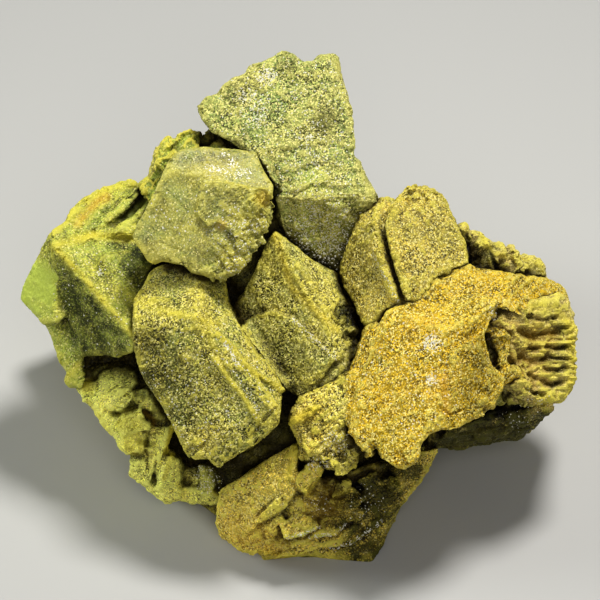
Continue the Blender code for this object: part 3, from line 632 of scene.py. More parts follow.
def mineralTintGroup():
    # cool and warm parts of the mineral in soft patches, then light and dark grains
    tree, takes, gives = newGroup("mineralTint", [
        ("Cool", "colour", (0.36, 0.37, 0.085, 1)), ("Warm", "colour", (0.5, 0.36, 0.05, 1)),
        ("Warm Share", "value", 0.5), ("Patch Scale", "value", coat["patches"]), ("Contrast", "value", 0.5),
        ("Glint", "colour", (0.85, 0.76, 0.26, 1)), ("Glint Share", "value", 0.1),
        ("Chance", "value", 0.5), ("Fine Chance", "value", 0.5), ("Hue Chance", "value", 0.5),
        ("Milky", "colour", (0.44, 0.42, 0.19, 1))],
        [("Color", "colour")])
    patches = noise(tree, takes["Patch Scale"], 3)
    tangled = maths(tree, "ADD", patches, maths(tree, "MULTIPLY", takes["Fine Chance"], 0.25))
    share = spread(tree, maths(tree, "ADD", tangled, takes["Warm Share"]), 0.85, 1.35)
    base = mixed(tree, share, takes["Cool"], takes["Warm"])
    base = mixed(tree, spread(tree, takes["Hue Chance"], 0.72, 0.95, 0.0, 0.5), base, takes["Milky"])
    # dark and light grains swing the tone round 1, more in some clumps than in others
    mottle = noise(tree, coat["mottle"], 3, 0.75)
    uneven = maths(tree, "MULTIPLY", maths(tree, "SUBTRACT", mottle, 0.5), 2.4)
    speck = maths(tree, "MULTIPLY", maths(tree, "POWER", takes["Chance"], 2.0), 3.2)
    both = maths(tree, "ADD", maths(tree, "SUBTRACT", speck, 1.07), uneven)
    clumps = noise(tree, coat["clumps"], 4, 0.65)
    depth = spread(tree, clumps, 0.35, 0.64, 0.45, 1.2)
    swing = maths(tree, "MULTIPLY", both, maths(tree, "MULTIPLY", takes["Contrast"], depth))
    grey = spread(tree, clumps, 0.3, 0.7, 1.3, 0.72)
    tone = maths(tree, "MULTIPLY", maths(tree, "MAXIMUM", maths(tree, "ADD", swing, 1.0), 0.16), grey)
    lit = vectorMaths(tree, "SCALE", base, "Scale", tone)
    dull = maths(tree, "SUBTRACT", 1.0, takes["Glint Share"])
    glint = maths(tree, "MULTIPLY", maths(tree, "GREATER_THAN", takes["Fine Chance"], dull), 0.75)
    plug(tree, mixed(tree, glint, lit, takes["Glint"]), gives["Color"])
    return tree


def rimLightGroup():
    # painted light on the rims, where edges let light through, and painted shade in the hollows and crevices
    tree, takes, gives = newGroup("rimLight", [
        ("Color", "colour", None), ("Rim Color", "colour", (0.72, 0.68, 0.12, 1)),
        ("Rim Amount", "value", 0.6), ("Hollow Shade Color", "colour", (0.35, 0.3, 0.15, 1)),
        ("Hollow Shade Amount", "value", 0.6), ("Crevice Shade Color", "colour", (0.06, 0.05, 0.03, 1))],
        [("Color", "colour")])
    broken = spread(tree, noise(tree, coat["brokenRim"], 2), 0.3, 0.6, 0.3, 1.2)
    # painted rim light, brightest on the sharpest bulges
    rim = maths(tree, "MULTIPLY", spread(tree, paintValue(tree, "rim"), 0.1, 0.7),
                maths(tree, "MULTIPLY", takes["Rim Amount"], broken))
    rimmed = mixed(tree, rim, takes["Color"], takes["Rim Color"])
    # painted shade: darker where the surface lies in a wide hollow
    hollow = spread(tree, maths(tree, "MULTIPLY", paintValue(tree, "bulge"), -1.0), 0.05, 0.9)
    hollowShaded = tinted(tree, maths(tree, "MULTIPLY", hollow, takes["Hollow Shade Amount"]), rimmed, takes["Hollow Shade Color"])
    # painted shade, near black where the specimen blocks most of the outlook close by
    creviceShade = spread(tree, paintValue(tree, "gloom"), 0.16, 0.6)
    plug(tree, tinted(tree, creviceShade, hollowShaded, takes["Crevice Shade Color"]), gives["Color"])
    return tree


def paintedSpotsGroup():
    # orange stains, painted sheen on grains, painted shade, painted light and painted glow, where each piece
    # lists them
    tree, takes, gives = newGroup("paintedSpots", [
        ("Color", "colour", None), ("Stain Color", "colour", (0.68, 0.38, 0.03, 1)),
        ("Painted Sheen Color", "colour", (0.86, 0.84, 0.70, 1)), ("Shade Color", "colour", (0.10, 0.11, 0.075, 1)),
        ("Painted Light Color", "colour", (0.50, 0.59, 0.08, 1)), ("Glow Color", "colour", (0.66, 0.56, 0.045, 1)),
        ("Chance", "value", 0.5), ("Fine Chance", "value", 0.5)],
        [("Color", "colour"), ("Painted Sheen", "value")])
    # painted shade, a little weaker on the brighter grains
    shade = paintValue(tree, "shade")
    uneven = maths(tree, "MULTIPLY", shade, spread(tree, takes["Chance"], 0.6, 0.95, 1.0, 0.7))
    dark = tinted(tree, spread(tree, uneven, 0.0, 1.0), takes["Color"], takes["Shade Color"])
    # painted light, where the shade is below 0
    paintedLight = spread(tree, maths(tree, "MULTIPLY", shade, -1.0), 0.0, 1.0)
    pale = mixed(tree, paintedLight, dark, takes["Painted Light Color"])
    # painted glow along rims and lit faces
    glowing = mixed(tree, paintValue(tree, "glow"), pale, takes["Glow Color"])
    stained = mixed(tree, paintValue(tree, "stain"), glowing, takes["Stain Color"])
    # painted sheen: some grains turn near white
    sheenPainted = maths(tree, "GREATER_THAN", paintValue(tree, "paintedSheen"), takes["Fine Chance"])
    sheenShare = maths(tree, "MULTIPLY", sheenPainted, 0.85)
    plug(tree, mixed(tree, sheenShare, stained, takes["Painted Sheen Color"]), gives["Color"])
    plug(tree, sheenPainted, gives["Painted Sheen"])
    return tree


drusyGrain = drusyGrainGroup()
mineralTint = mineralTintGroup()
rimLight = rimLightGroup()
paintedSpots = paintedSpotsGroup()


def mineralLook(name, cool, warm, warmShare, contrast, glintShare, tilt=0.6, rim=0.7,
                rimColour=(0.66, 0.58, 0.07), dirt=0.6, rough=0.55, bump=0.4, gloss=0.12):
    look = bpy.data.materials.new(name)
    look.use_nodes = True
    tree = look.node_tree
    shader = tree.nodes["Principled BSDF"]
    grains = useGroup(tree, drusyGrain, {"Tilt": tilt})
    chances = {label: grains[label] for label in ("Chance", "Fine Chance", "Hue Chance")}
    tint = useGroup(tree, mineralTint, {
        "Cool": (*cool, 1), "Warm": (*warm, 1), "Warm Share": warmShare, "Contrast": contrast,
        "Glint Share": glintShare, **chances})
    rimsAndShade = useGroup(tree, rimLight, {"Color": tint["Color"], "Rim Color": (*rimColour, 1), "Rim Amount": rim,
                                    "Hollow Shade Amount": dirt})
    painted = useGroup(tree, paintedSpots, {"Color": rimsAndShade["Color"], "Chance": grains["Chance"],
                                            "Fine Chance": grains["Fine Chance"]})
    shiny = maths(tree, "GREATER_THAN", grains["Fine Chance"], 1 - coat["shinyShare"])
    roughness = maths(tree, "SUBTRACT", rough, maths(tree, "MULTIPLY", shiny, rough * 0.5))
    sheenPainted = maths(tree, "MULTIPLY", painted["Painted Sheen"], 0.2)
    roughness = maths(tree, "SUBTRACT", roughness, sheenPainted, clamp=True)
    raised = plugAll(tree, addNode(tree, "ShaderNodeBump"), {
        "Strength": bump, "Distance": coat["bumpHeight"], "Height": noise(tree, coat["bumps"], 4),
        "Normal": grains["Facet Normal"]})[0]
    plugAll(tree, shader, {"Base Color": painted["Color"], "Roughness": roughness, "Normal": raised,
                           "Specular IOR Level": gloss})
    return look


# Everything on the display side is (across, up, out) in mm. Painted sheen, painted shade, stain and
# painted glow are spots (across, up, radius, amount) or paths (path, width, amount), and a shade below 0
# paints light.
pieces = []

topSlab = {
    "look": dict(name="greenDrusy", cool=(0.2, 0.27, 0.065), warm=(0.38, 0.36, 0.085), warmShare=0.5,
        contrast=0.64, glintShare=0.14, rim=0.45, rimColour=(0.6, 0.56, 0.14)),
    "solids": [
        crystal([(-13, 24.3), (-12, 25.6), (-10.6, 25.8), (-10, 26.7), (-8.6, 27.9), (-6.9, 28.6),
            (-6.5, 29.6), (-4.6, 30.2), (-2.1, 31.5), (-0.9, 31.2), (0.4, 30.2), (1.6, 30.2), (2.4, 31.1),
            (4.5, 31.3), (5, 30.7), (5.8, 26.9), (6.6, 24), (6.9, 18.8), (6.6, 17.4), (0, 17.8),
            (-4.6, 16.9), (-7.4, 18.9), (-11, 21.1), (-12.4, 22.6)],
            [((-12.8, 24.1, -3), (4.9, 30.4, -4.4), (6.3, 17.8, -1))], -12, 0.45),
        crystal([(-4.8, 17.2), (6.4, 18.4), (7.5, 17.4), (8.4, 15.2), (9.6, 13), (9.8, 9), (7.2, 6),
            (4.8, 3.7), (1.2, 5.2), (-1.9, 8), (-2.9, 10.6), (-3.2, 13.2)],
            [((-3.2, 12.6, 0), (7.8, 12.9, -0.2), (6.3, 17.8, -1.3)), ((-3.2, 12.6, 0), (7.8, 12.9, -0.2),
            (4.8, 3.7, -4.8))], -12, 0.4),
        lump([(-5.6, 18.4, 1.2), (-4.2, 16.6, 2.6), (-3, 14.2, 3.2), (-2.2, 13.4, 1), (-3.4, 17.2, 0.2),
            (-5, 19.2, -0.6)], -9),
        layer([(-2, 14.6), (1.5, 15.4), (5.8, 16.6), (7, 15), (7.6, 13), (1, 12.6), (-3, 12.8)], -0.1,
            (0, -0.3), 2),
    ],
    "voxel": 0.23,
    "relief": [soft(5, 0.2), cells((2.2, 1.5, 1.5), (10, 20, -24), 0.12),
        steps((0.1, -1, 0.1), 2.3, 0.3, [(2, 15, 6)]),
        soft(2.4, 0.5, [(0, 12.4, 2.4), (4, 12.4, 2.4), (8, 12.6, 2)]), soft(1, 0.07), soft(0.42, 0.07),
        chips((1.3, 1.3, 1.3), 0.4), pits(1, 0.45, 0.5, [(2.2, 10.3, 1.8)]),
        cells((1.6, 1, 1.2), (10, 20, -20), 0.22, [(3.5, 8.5, 4.5)])],
    "paintedSheen": [(-4.4, 28.1, 1.2, 0.3), (-6, 24.8, 2, 0.2), (-5.2, 22.6, 1.3, 0.24), (1.2, 20.4, 0.35, 0.5),
        (2.5, 16, 5, 0.07), (0, 24, 9, 0.035), (3, 8.5, 4, 0.22)],
    "shade": [(3, 22.6, 1.8, 0.6), (-8.1, 25.6, 1.6, 0.4), (-6.2, 21.5, 1.8, 0.35), (-1.5, 30, 1.5, 0.4),
        (2, 14.5, 2, -0.3)],
    "glow": [(3, 9.4, 3.6, 0.2)],
}
pieces.append(growPiece("topSlab", topSlab))

sheenCrystal = {
    "look": dict(name="sheenSkin", cool=(0.25, 0.285, 0.065), warm=(0.38, 0.34, 0.05), warmShare=0.5,
        contrast=0.28, glintShare=0.05, tilt=0.4, rim=0.6, rimColour=(0.58, 0.53, 0.09), dirt=0.9,
        rough=0.45, gloss=0.35),
    "solids": [
        crystal([(-20.9, 7.8), (-20.1, 9.8), (-18.5, 12.5), (-17.4, 15), (-16.5, 17.1), (-15.4, 18.6),
            (-12.5, 19.1), (-8.5, 18.9), (-5.4, 18.5), (-4.9, 17.1), (-4.4, 16), (-3.3, 14.2), (-3.5, 13),
            (-4.5, 11.9), (-4.7, 9.8), (-5.5, 7.9), (-6.4, 5.5), (-7.4, 4.5), (-9.3, 2.7), (-11.6, 3),
            (-13.4, 3.2), (-14.5, 4.3), (-17.1, 4.9), (-18.6, 4.3), (-19.3, 5.3)],
            [((-12.9, 15.6, 4.9), (-6.3, 14.1, 4.9), (-12, 3, 4.4)), ((-12.9, 15.6, 4.9),
            (-6.3, 14.1, 4.9), (-8.5, 18.9, 2.2))], 0.6, 0.3),
        crystal([(-19, 10), (-16, 16.4), (-6, 16.6), (-5, 12), (-7, 7), (-11, 5), (-17, 6.6)],
            [((-19, 10, 2.6), (-6, 16, 1.6), (-10, 5, 2.6))], -11, 0.3),
        layer([(-12.4, 14.8), (-13.2, 12), (-12.6, 10.3), (-11.6, 9), (-10.4, 9.6), (-9, 9), (-7.6, 7.6),
            (-6.8, 6.2), (-5.6, 8), (-4.9, 9.8), (-4.7, 11.8), (-3.7, 13), (-3.9, 13.9), (-6.3, 14),
            (-9.6, 14.8)], 5.3, (0, 0.04), 1.5),
        *crumbs([(-4.2, 11.6, 4), (-5, 9.4, 4.2), (-6.4, 6.4, 4.2), (-8, 3.6, 4), (-10.6, 3.2, 3.8)], 46,
            (0.8, 1.5), 11),
        *crumbs([(-5.6, 12.4, 5), (-6.2, 9.6, 5), (-7.6, 6.8, 4.9), (-9.2, 4.6, 4.8)], 34, (0.7, 1.3), 12),
    ],
    "voxel": 0.2,
    "relief": [soft(4, 0.12),
        cells((1.3, 1.3, 1), (10, 15, 30), 0.35, [(-7.5, 4.5, 3), (-5, 8.5, 2.2), (-4.5, 12, 1.6),
            (-10.5, 4.2, 1.8)]), cells((1.8, 0.9, 0.9), (10, 15, -40), 0.14, [(-8.5, 10, 4)]),
        soft(0.9, 0.05), soft(0.4, 0.05, [(-7, 11, 6), (-11, 17, 4)]),
        trace([(-16.5, 13.5), (-14, 11), (-15.2, 8.2)], 0.35, -0.12),
        trace([(-17.5, 7.2), (-14.8, 6), (-12.9, 3.6)], 0.35, -0.12), chips((1.1, 1.1, 1.1), 0.3)],
    "paintedSheen": [([(-11.6, 16.6), (-9.4, 16), (-6.8, 15.2)], 0.7, 0.25),
        ([(-9.6, 18.2), (-7.6, 16.4), (-6.4, 15.6)], 1, 0.25), (-8, 8, 3.5, 0.08), (-15, 11, 4, 0.015),
        (-8.4, 4.4, 1.6, 0.14), (-5.6, 9, 1.4, 0.14)],
    "shade": [([(-16.5, 17.6), (-8, 17.6)], 1.8, 0.35), (-15.5, 11, 4.5, -0.12), (-11.5, 6.5, 2.2, 0.25),
        (-6.8, 8.6, 1.6, 0.4), (-9, 4.6, 1.6, 0.4), (-5.2, 11.2, 1, 0.35), (-9.6, 11.6, 2.4, 0.2)],
    "stain": [(-9.8, 9.3, 0.7, 0.3), (-4.6, 12.6, 1, 0.25)],
    "glow": [([(-12.9, 11.6), (-12.7, 9.8), (-11.9, 9.1), (-9.6, 8.9)], 0.4, 0.25),
        ([(-20.6, 7.1), (-19, 4.6), (-17.1, 4.6)], 0.6, 0.6), ([(-10.9, 15.2), (-6.3, 13.9)], 0.35, 0.4),
        (-6.2, 9.4, 2.2, 0.3), (-8.6, 4.6, 1.6, 0.35), (-4.9, 12.6, 1.2, 0.4)],
}
pieces.append(growPiece("sheenCrystal", sheenCrystal))

leftBlock = {
    "look": dict(name="leftGreen", cool=(0.25, 0.3, 0.045), warm=(0.47, 0.44, 0.05), warmShare=0.4,
        contrast=0.45, glintShare=0.05, tilt=0.45, rim=0.55, rimColour=(0.62, 0.6, 0.09)),
    "solids": [
        crystal([(-31.3, 6.9), (-31.2, 8.9), (-29.6, 10), (-29.2, 11.4), (-27.5, 13.3), (-25.3, 14.3),
            (-24.6, 14.8), (-21.5, 15.9), (-20.5, 15.2), (-17, 16.9), (-15, 12), (-18.4, 4.2), (-18.8, 0),
            (-20.6, -4.4), (-20.4, -6.3), (-22.8, -7.3), (-24.4, -7.1), (-25.6, -7.3), (-27.4, -7.3),
            (-28.2, -5), (-29.6, -1.8), (-31, 1), (-31.7, 3.3)],
            [((-31, 6.8, -3), (-20.9, -4.4, 1.4), (-28.2, -5, -5)), ((-31, 6.8, -3), (-20.9, -4.4, 1.4),
            (-20.9, 7.8, -5.6)), ((-31, 6.8, -3), (-20.9, 7.8, -5.6), (-24.1, 14, -10.5))], -14, 0.35),
        crystal([(-31.4, 8.4), (-33, 5.6), (-35, 2.3), (-35.4, 0.1), (-33.4, -2), (-32.3, -3.1),
            (-30, -2.8), (-29.2, -1.8), (-30.5, 1), (-31.2, 3.3), (-30.6, 6.8)],
            [((-31.2, 8.1, -4.6), (-31, 1, -4.6), (-34.8, 0.1, -8.4))], -15, 0.35),
        lump([(-32.2, -2.8, -7.4), (-31.2, -5, -7.2), (-30.5, -7.4, -7.2), (-29.9, -9, -7.4),
            (-29.4, -2, -5.8), (-28, -5, -5.6), (-27.2, -8.2, -5.8)], -14),
        lump([(-30.2, -10.2, -7.2), (-29.4, -11.2, -7), (-27.6, -11.2, -6.4), (-26.8, -9, -5.8),
            (-28.4, -7.9, -6)], -12),
        layer([(-28.2, 9.4), (-24.2, 11.6), (-20.4, 14.8), (-19.9, 13.6), (-22.4, 10.8), (-27, 8.4)], -7.2,
            (0, -0.8), 2),
        layer([(-24.8, 8.2), (-21.4, 10.8), (-17.2, 16.4), (-16.4, 15.6), (-19.6, 10.2), (-21, 8.2)], -7,
            (0, -0.8), 2),
        layer([(-24.9, 6.2), (-25.4, 4.4), (-22.9, 1.2), (-21.3, 0), (-20.4, 1.2), (-20.6, 6.4)], -2.7,
            (-0.42, -0.34), 2),
    ],
    "voxel": 0.23,
    "relief": [soft(4, 0.15), lines((-0.62, 0.78, 0.1), 1.7, 0.28, [(-25, 12, 4), (-20.5, 12.5, 3.5)]),
        facets((2.6, 1.6, 1.6), (0, 0, 50), 0.16, [(-25, 12, 5), (-20, 12, 4)]), soft(0.9, 0.07),
        soft(0.4, 0.06), chips((1.2, 1.2, 1.2), 0.35)],
    "paintedSheen": [(-25, 3.5, 0.4, 0.3), (-25, 0, 6, 0.012)],
    "shade": [([(-30.3, 4.4), (-27, 0.4), (-22.6, -4.6)], 2.6, 0.7),
        ([(-29.8, 1.4), (-27.3, -2.4), (-23.4, -6.4)], 3.4, 0.84),
        ([(-29, -2.4), (-26.4, -6.6)], 3.2, 0.66), (-33.4, 1.4, 3.4, -0.95),
        ([(-22.6, 7), (-19.4, 1.4)], 2.6, 0.75), (-20.4, 5, 2.2, 0.7), (-25, 4, 2, 0.4),
        ([(-22, 9.6), (-17, 15.4)], 1.2, -0.3)],
    "stain": [([(-28, 9.6), (-26.4, 11.6), (-24.6, 13)], 1.1, 0.45)],
    "glow": [([(-31, 6.8), (-27.2, 3), (-24.2, -0.5), (-20.9, -4.4)], 0.7, 0.45),
        ([(-31, 6.8), (-26, 8.2), (-21, 7.8)], 1, 0.6),
        ([(-31, 8.6), (-28, 12.2), (-24.6, 14.2), (-20.6, 15.2)], 1.2, 0.5),
        ([(-28, -8.2), (-30, -10.4)], 0.8, 0.4)],
}
pieces.append(growPiece("leftBlock", leftBlock))

frontBlock = {
    "look": dict(name="oliveDrusy", cool=(0.22, 0.24, 0.045), warm=(0.42, 0.35, 0.05), warmShare=0.5,
        contrast=0.82, glintShare=0.14, rim=0.6),
    "solids": [
        crystal([(-20.9, -2.8), (-21.1, -0.1), (-20.1, 1.5), (-18.9, 3.9), (-17, 4.8), (-9.5, 4),
            (-8.9, 0.2), (-7.3, -3.5), (-4.8, -6.8), (-1.8, -10.8), (-2.2, -12.2), (-2.6, -15.4),
            (-3.8, -16.5), (-4.8, -17.5), (-5.4, -18.2), (-6.8, -19), (-8.8, -20), (-9.8, -20.9),
            (-10.6, -20.9), (-11.4, -20), (-12.6, -20.3), (-14, -19.8), (-15, -18.1), (-16, -15.6),
            (-17.5, -13.1), (-19.4, -10), (-20.4, -7.5), (-20.9, -5)],
            [((-12.5, -2.5, 6.2), (-2.6, -15.2, 6), (-19.4, -10, 2.8)), ((-12.5, -2.5, 6.2),
            (-2.6, -15.2, 6), (-7.3, -3.5, 2.4)), ((-20.9, -3.4, 3.8), (-12.5, -2.5, 6.2), (-17, 4.6, 0))],
            -9, 0.5),
        layer([(-10.5, -2.6), (-9, -0.8), (-2.2, -10), (-2.3, -12), (-6.4, -7.8)], 3.9, (-0.81, -0.62), 2),
        layer([(-12, -3), (-11, -2.2), (-6.6, -7.4), (-2.5, -13), (-2.7, -14.6), (-7.6, -8.6)], 5.8,
            (-0.6, -0.5), 2),
        layer([(-20.4, -1.6), (-18.6, 0.6), (-16, 0.2), (-12.4, -0.4), (-12, -2.4), (-16.4, -3.4),
            (-19.8, -3.6)], 4, (0.2, -0.35), 2),
    ],
    "voxel": 0.21,
    "relief": [soft(4, 0.2), lines((0.8, 0.6, 0.3), 0.9, 0.12, [(-7, -7, 2.6), (-4, -11, 2)]),
        cells((1.2, 1.2, 1.2), (12, 8, 20), 0.05),
        cells((2, 1.2, 1.4), (8, 12, 50), 0.35, [(-9.5, -20, 2.2), (-5.5, -17.5, 1.8), (-13, -19, 1.6)]),
        soft(0.75, 0.05), soft(0.38, 0.07), chips((1.1, 1.1, 1.1), 0.35),
        trace([(-5.5, -16.2), (-4.6, -15), (-3.1, -13.5)], 0.35, -0.6),
        trace([(-10.2, -4.2), (-8.6, -5.8), (-6.4, -8.6), (-2.2, -11.2)], 0.5, 0.55),
        trace([(-10.8, -7), (-9, -9.6), (-6.9, -12.2), (-4.9, -15.4)], 0.5, 0.5),
        trace([(-20.4, -2.4), (-17, -1.6), (-13, -2.2)], 0.7, 0.3)],
    "paintedSheen": [([(-9.2, -5.4), (-7.6, -8)], 0.6, 0.4), ([(-9.5, -7), (-5, -14)], 0.7, 0.12),
        (-12, -11, 8, 0.02)],
    "shade": [(-18.8, -5.4, 2.6, 0.62), (-17.2, -9, 3.4, 0.7), (-14.2, -13.4, 3.2, 0.42),
        (-15, 0.6, 3, 0.25)],
    "glow": [([(-21, 0.2), (-17, -1.3), (-13, -2.2), (-9.8, -3.2)], 1.1, 0.35),
        ([(-10.2, -4.2), (-8.6, -5.8), (-6.4, -8.6), (-2.2, -11.2)], 0.7, 0.5),
        ([(-12.2, -2.6), (-9, -9.4), (-6.9, -12.2), (-4.9, -15.4)], 0.7, 0.5)],
}
pieces.append(growPiece("frontBlock", frontBlock))

centreBlock = {
    "look": dict(name="centreOlive", cool=(0.28, 0.29, 0.07), warm=(0.44, 0.38, 0.06), warmShare=0.5,
        contrast=0.8, glintShare=0.12, rim=0.5),
    "solids": [
        crystal([(-3.1, 8.9), (-1.5, 7.8), (1.5, 5.3), (4.6, 3.5), (5.3, 1.4), (6.9, -1.3), (7.6, -5),
            (7.2, -6.9), (5.8, -7.9), (4.6, -7.5), (2.9, -10.1), (0, -11.5), (-1.6, -11), (-4.8, -6.3),
            (-7.5, -3.3), (-8.4, -1.9), (-8.1, 0), (-7.1, 1.1), (-5.8, 4), (-4.3, 7.4)],
            [((-3.1, 8.1, 0.8), (4.4, -3.6, 3.2), (-8.1, -0.6, -2.6)), ((-3.1, 8.1, 0.8), (4.4, -3.6, 3.2),
            (4.8, 3.5, -2.4)), ((2.9, -2, 3), (5, -7.2, 2.8), (7.6, -5, -0.4))], -10, 0.4),
        lump([(3.2, -6.4, 2.4), (6, -6.6, 2), (6, -9.4, 2.2), (3.2, -9.4, 2.6)], -6),
        lump([(-7.8, -3.2, 1.6), (-5.2, -6.6, 2.8), (-2.6, -10.2, 3), (-6.2, -2.6, -0.8), (-3.6, -6.2, 0),
            (-0.8, -10.6, 0.8), (-1.6, -11.6, 1.6)], -9),
        lump([(-1.4, -11.4, 0.6), (1.5, -11, 1.8), (4.6, -8.2, 2.6), (6.4, -7.6, 1.8), (6.6, -9.4, 2.6),
            (3.4, -11.6, 2.4), (0, -12.6, 1.8)], -9),
        layer([(-7.4, -2.6), (-4.3, -1), (-0.9, -2.3), (1.8, -4.8), (4.5, -7.4), (2.7, -9.9), (0, -11.2),
            (-1.6, -10.6), (-4.8, -6.3)], 1.5, (0.48, 0.1), 2),
    ],
    "voxel": 0.21,
    "relief": [soft(4, 0.2), lines((0.8, 0.58, 0.2), 1.3, 0.14, [(2, 1, 3.5)]),
        cells((1.2, 1.2, 1.2), (12, 8, 20), 0.05), soft(0.75, 0.05), soft(0.38, 0.08),
        trace([(-0.9, -2.3), (1.8, -4.8), (4.6, -7.5)], 0.5, 0.2),
        cells((1.2, 1.2, 1.2), (12, 8, 50), 0.45, [(5.6, -1.5, 1.6), (6.6, -4.5, 1.2)]),
        chips((1.1, 1.1, 1.1), 0.3)],
    "paintedSheen": [([(-0.9, -2.4), (4.6, -7.5)], 0.5, 0.22)],
    "shade": [(-1, -7, 3.5, 0.5), (2, -9, 2.6, 0.3), (6, -2, 1.5, 0.8), (-5, 1.5, 2, 0.2)],
    "stain": [([(-3.1, 8), (-1, 1.4), (4.4, -3.6)], 0.8, 0.12)],
    "glow": [([(-3.1, 8), (-1, 1.4), (4.4, -3.6)], 1, 0.45), (-4, 4.5, 1.6, 0.2)],
}
pieces.append(growPiece("centreBlock", centreBlock))

rightPair = {
    "look": dict(name="rightOchre", cool=(0.27, 0.245, 0.045), warm=(0.42, 0.325, 0.05), warmShare=0.62,
        contrast=0.68, glintShare=0.12, rim=0.5),
    "solids": [
        crystal([(4.8, 3.4), (5.1, 5.6), (6.4, 8.3), (7.4, 10.9), (9, 12.9), (10.3, 13.1), (11.2, 12.6),
            (12.2, 7), (13, 0.4), (12.1, -0.2), (10.6, -1.5), (9.8, -3.1), (8.5, -4.1), (7.3, -2.3),
            (6.9, -1), (5.5, 1.3)],
            [((4.8, 3.4, -1.2), (8.9, 9.8, 2), (12.1, 0, 4.4)), ((8.9, 9.8, 2), (12.1, 0, 4.4),
            (12.4, 6, 1.6)), ((6.4, 8.3, 0.4), (9.2, 9.9, 2), (9, 12.9, -2))], -11, 0.35),
        crystal([(10.6, 9.4), (11, 11.6), (12.2, 13.2), (13.4, 14.2), (15.1, 14.5), (17.1, 14),
            (18.2, 13.1), (19, 11), (19.8, 9.4), (21.1, 6.6), (21.3, 4.3), (19.3, 3.6), (16.9, 2.5),
            (15.1, -0.2), (13.1, -0.4), (12.5, 1.9), (11.6, 4.8), (11, 7)],
            [((10.8, 9, 3), (13.2, 0, 5.4), (20.9, 6.6, 0.6)), ((11.2, 11.6, 1.8), (19.6, 9, 0.2),
            (15, 14.3, -1.4))], -12, 0.4),
        lump([(9.6, 9.4, 1.3), (11.6, 9.6, 1.9), (10, 4, 2.7), (12.4, 4, 3.2), (11, -0.8, 3.5),
            (13.4, -0.6, 4), (12, -2.4, 4.2), (14.2, -1.6, 4.6)], -11),
        layer([(9.4, 6.6), (10.1, 6.8), (12.4, 0.6), (11.6, -0.2)], 4, (-0.4, -0.3), 2),
    ],
    "voxel": 0.21,
    "relief": [soft(4, 0.2), lines((0.9, 0.4, 0), 1, 0.1, [(10.5, 5, 2)]),
        cells((1.3, 1.3, 1.3), (12, 8, 20), 0.05), soft(0.8, 0.05), soft(0.38, 0.08),
        chips((1.1, 1.1, 1.1), 0.3), trace([(10.2, 9.2), (11.2, 5.2), (12.7, 0)], 0.4, -0.25),
        cells((1.3, 1, 1.2), (0, 20, 30), 0.4, [(15, 13.8, 2.2)])],
    "paintedSheen": [([(8.9, 6.1), (12.1, 0)], 0.45, 0.25)],
    "shade": [(7.5, 4, 2.6, 0.3), (16, 9, 3, 0.2)],
    "glow": [([(8.9, 6.1), (12.1, 0)], 0.6, 0.3)],
}
pieces.append(growPiece("rightPair", rightPair))

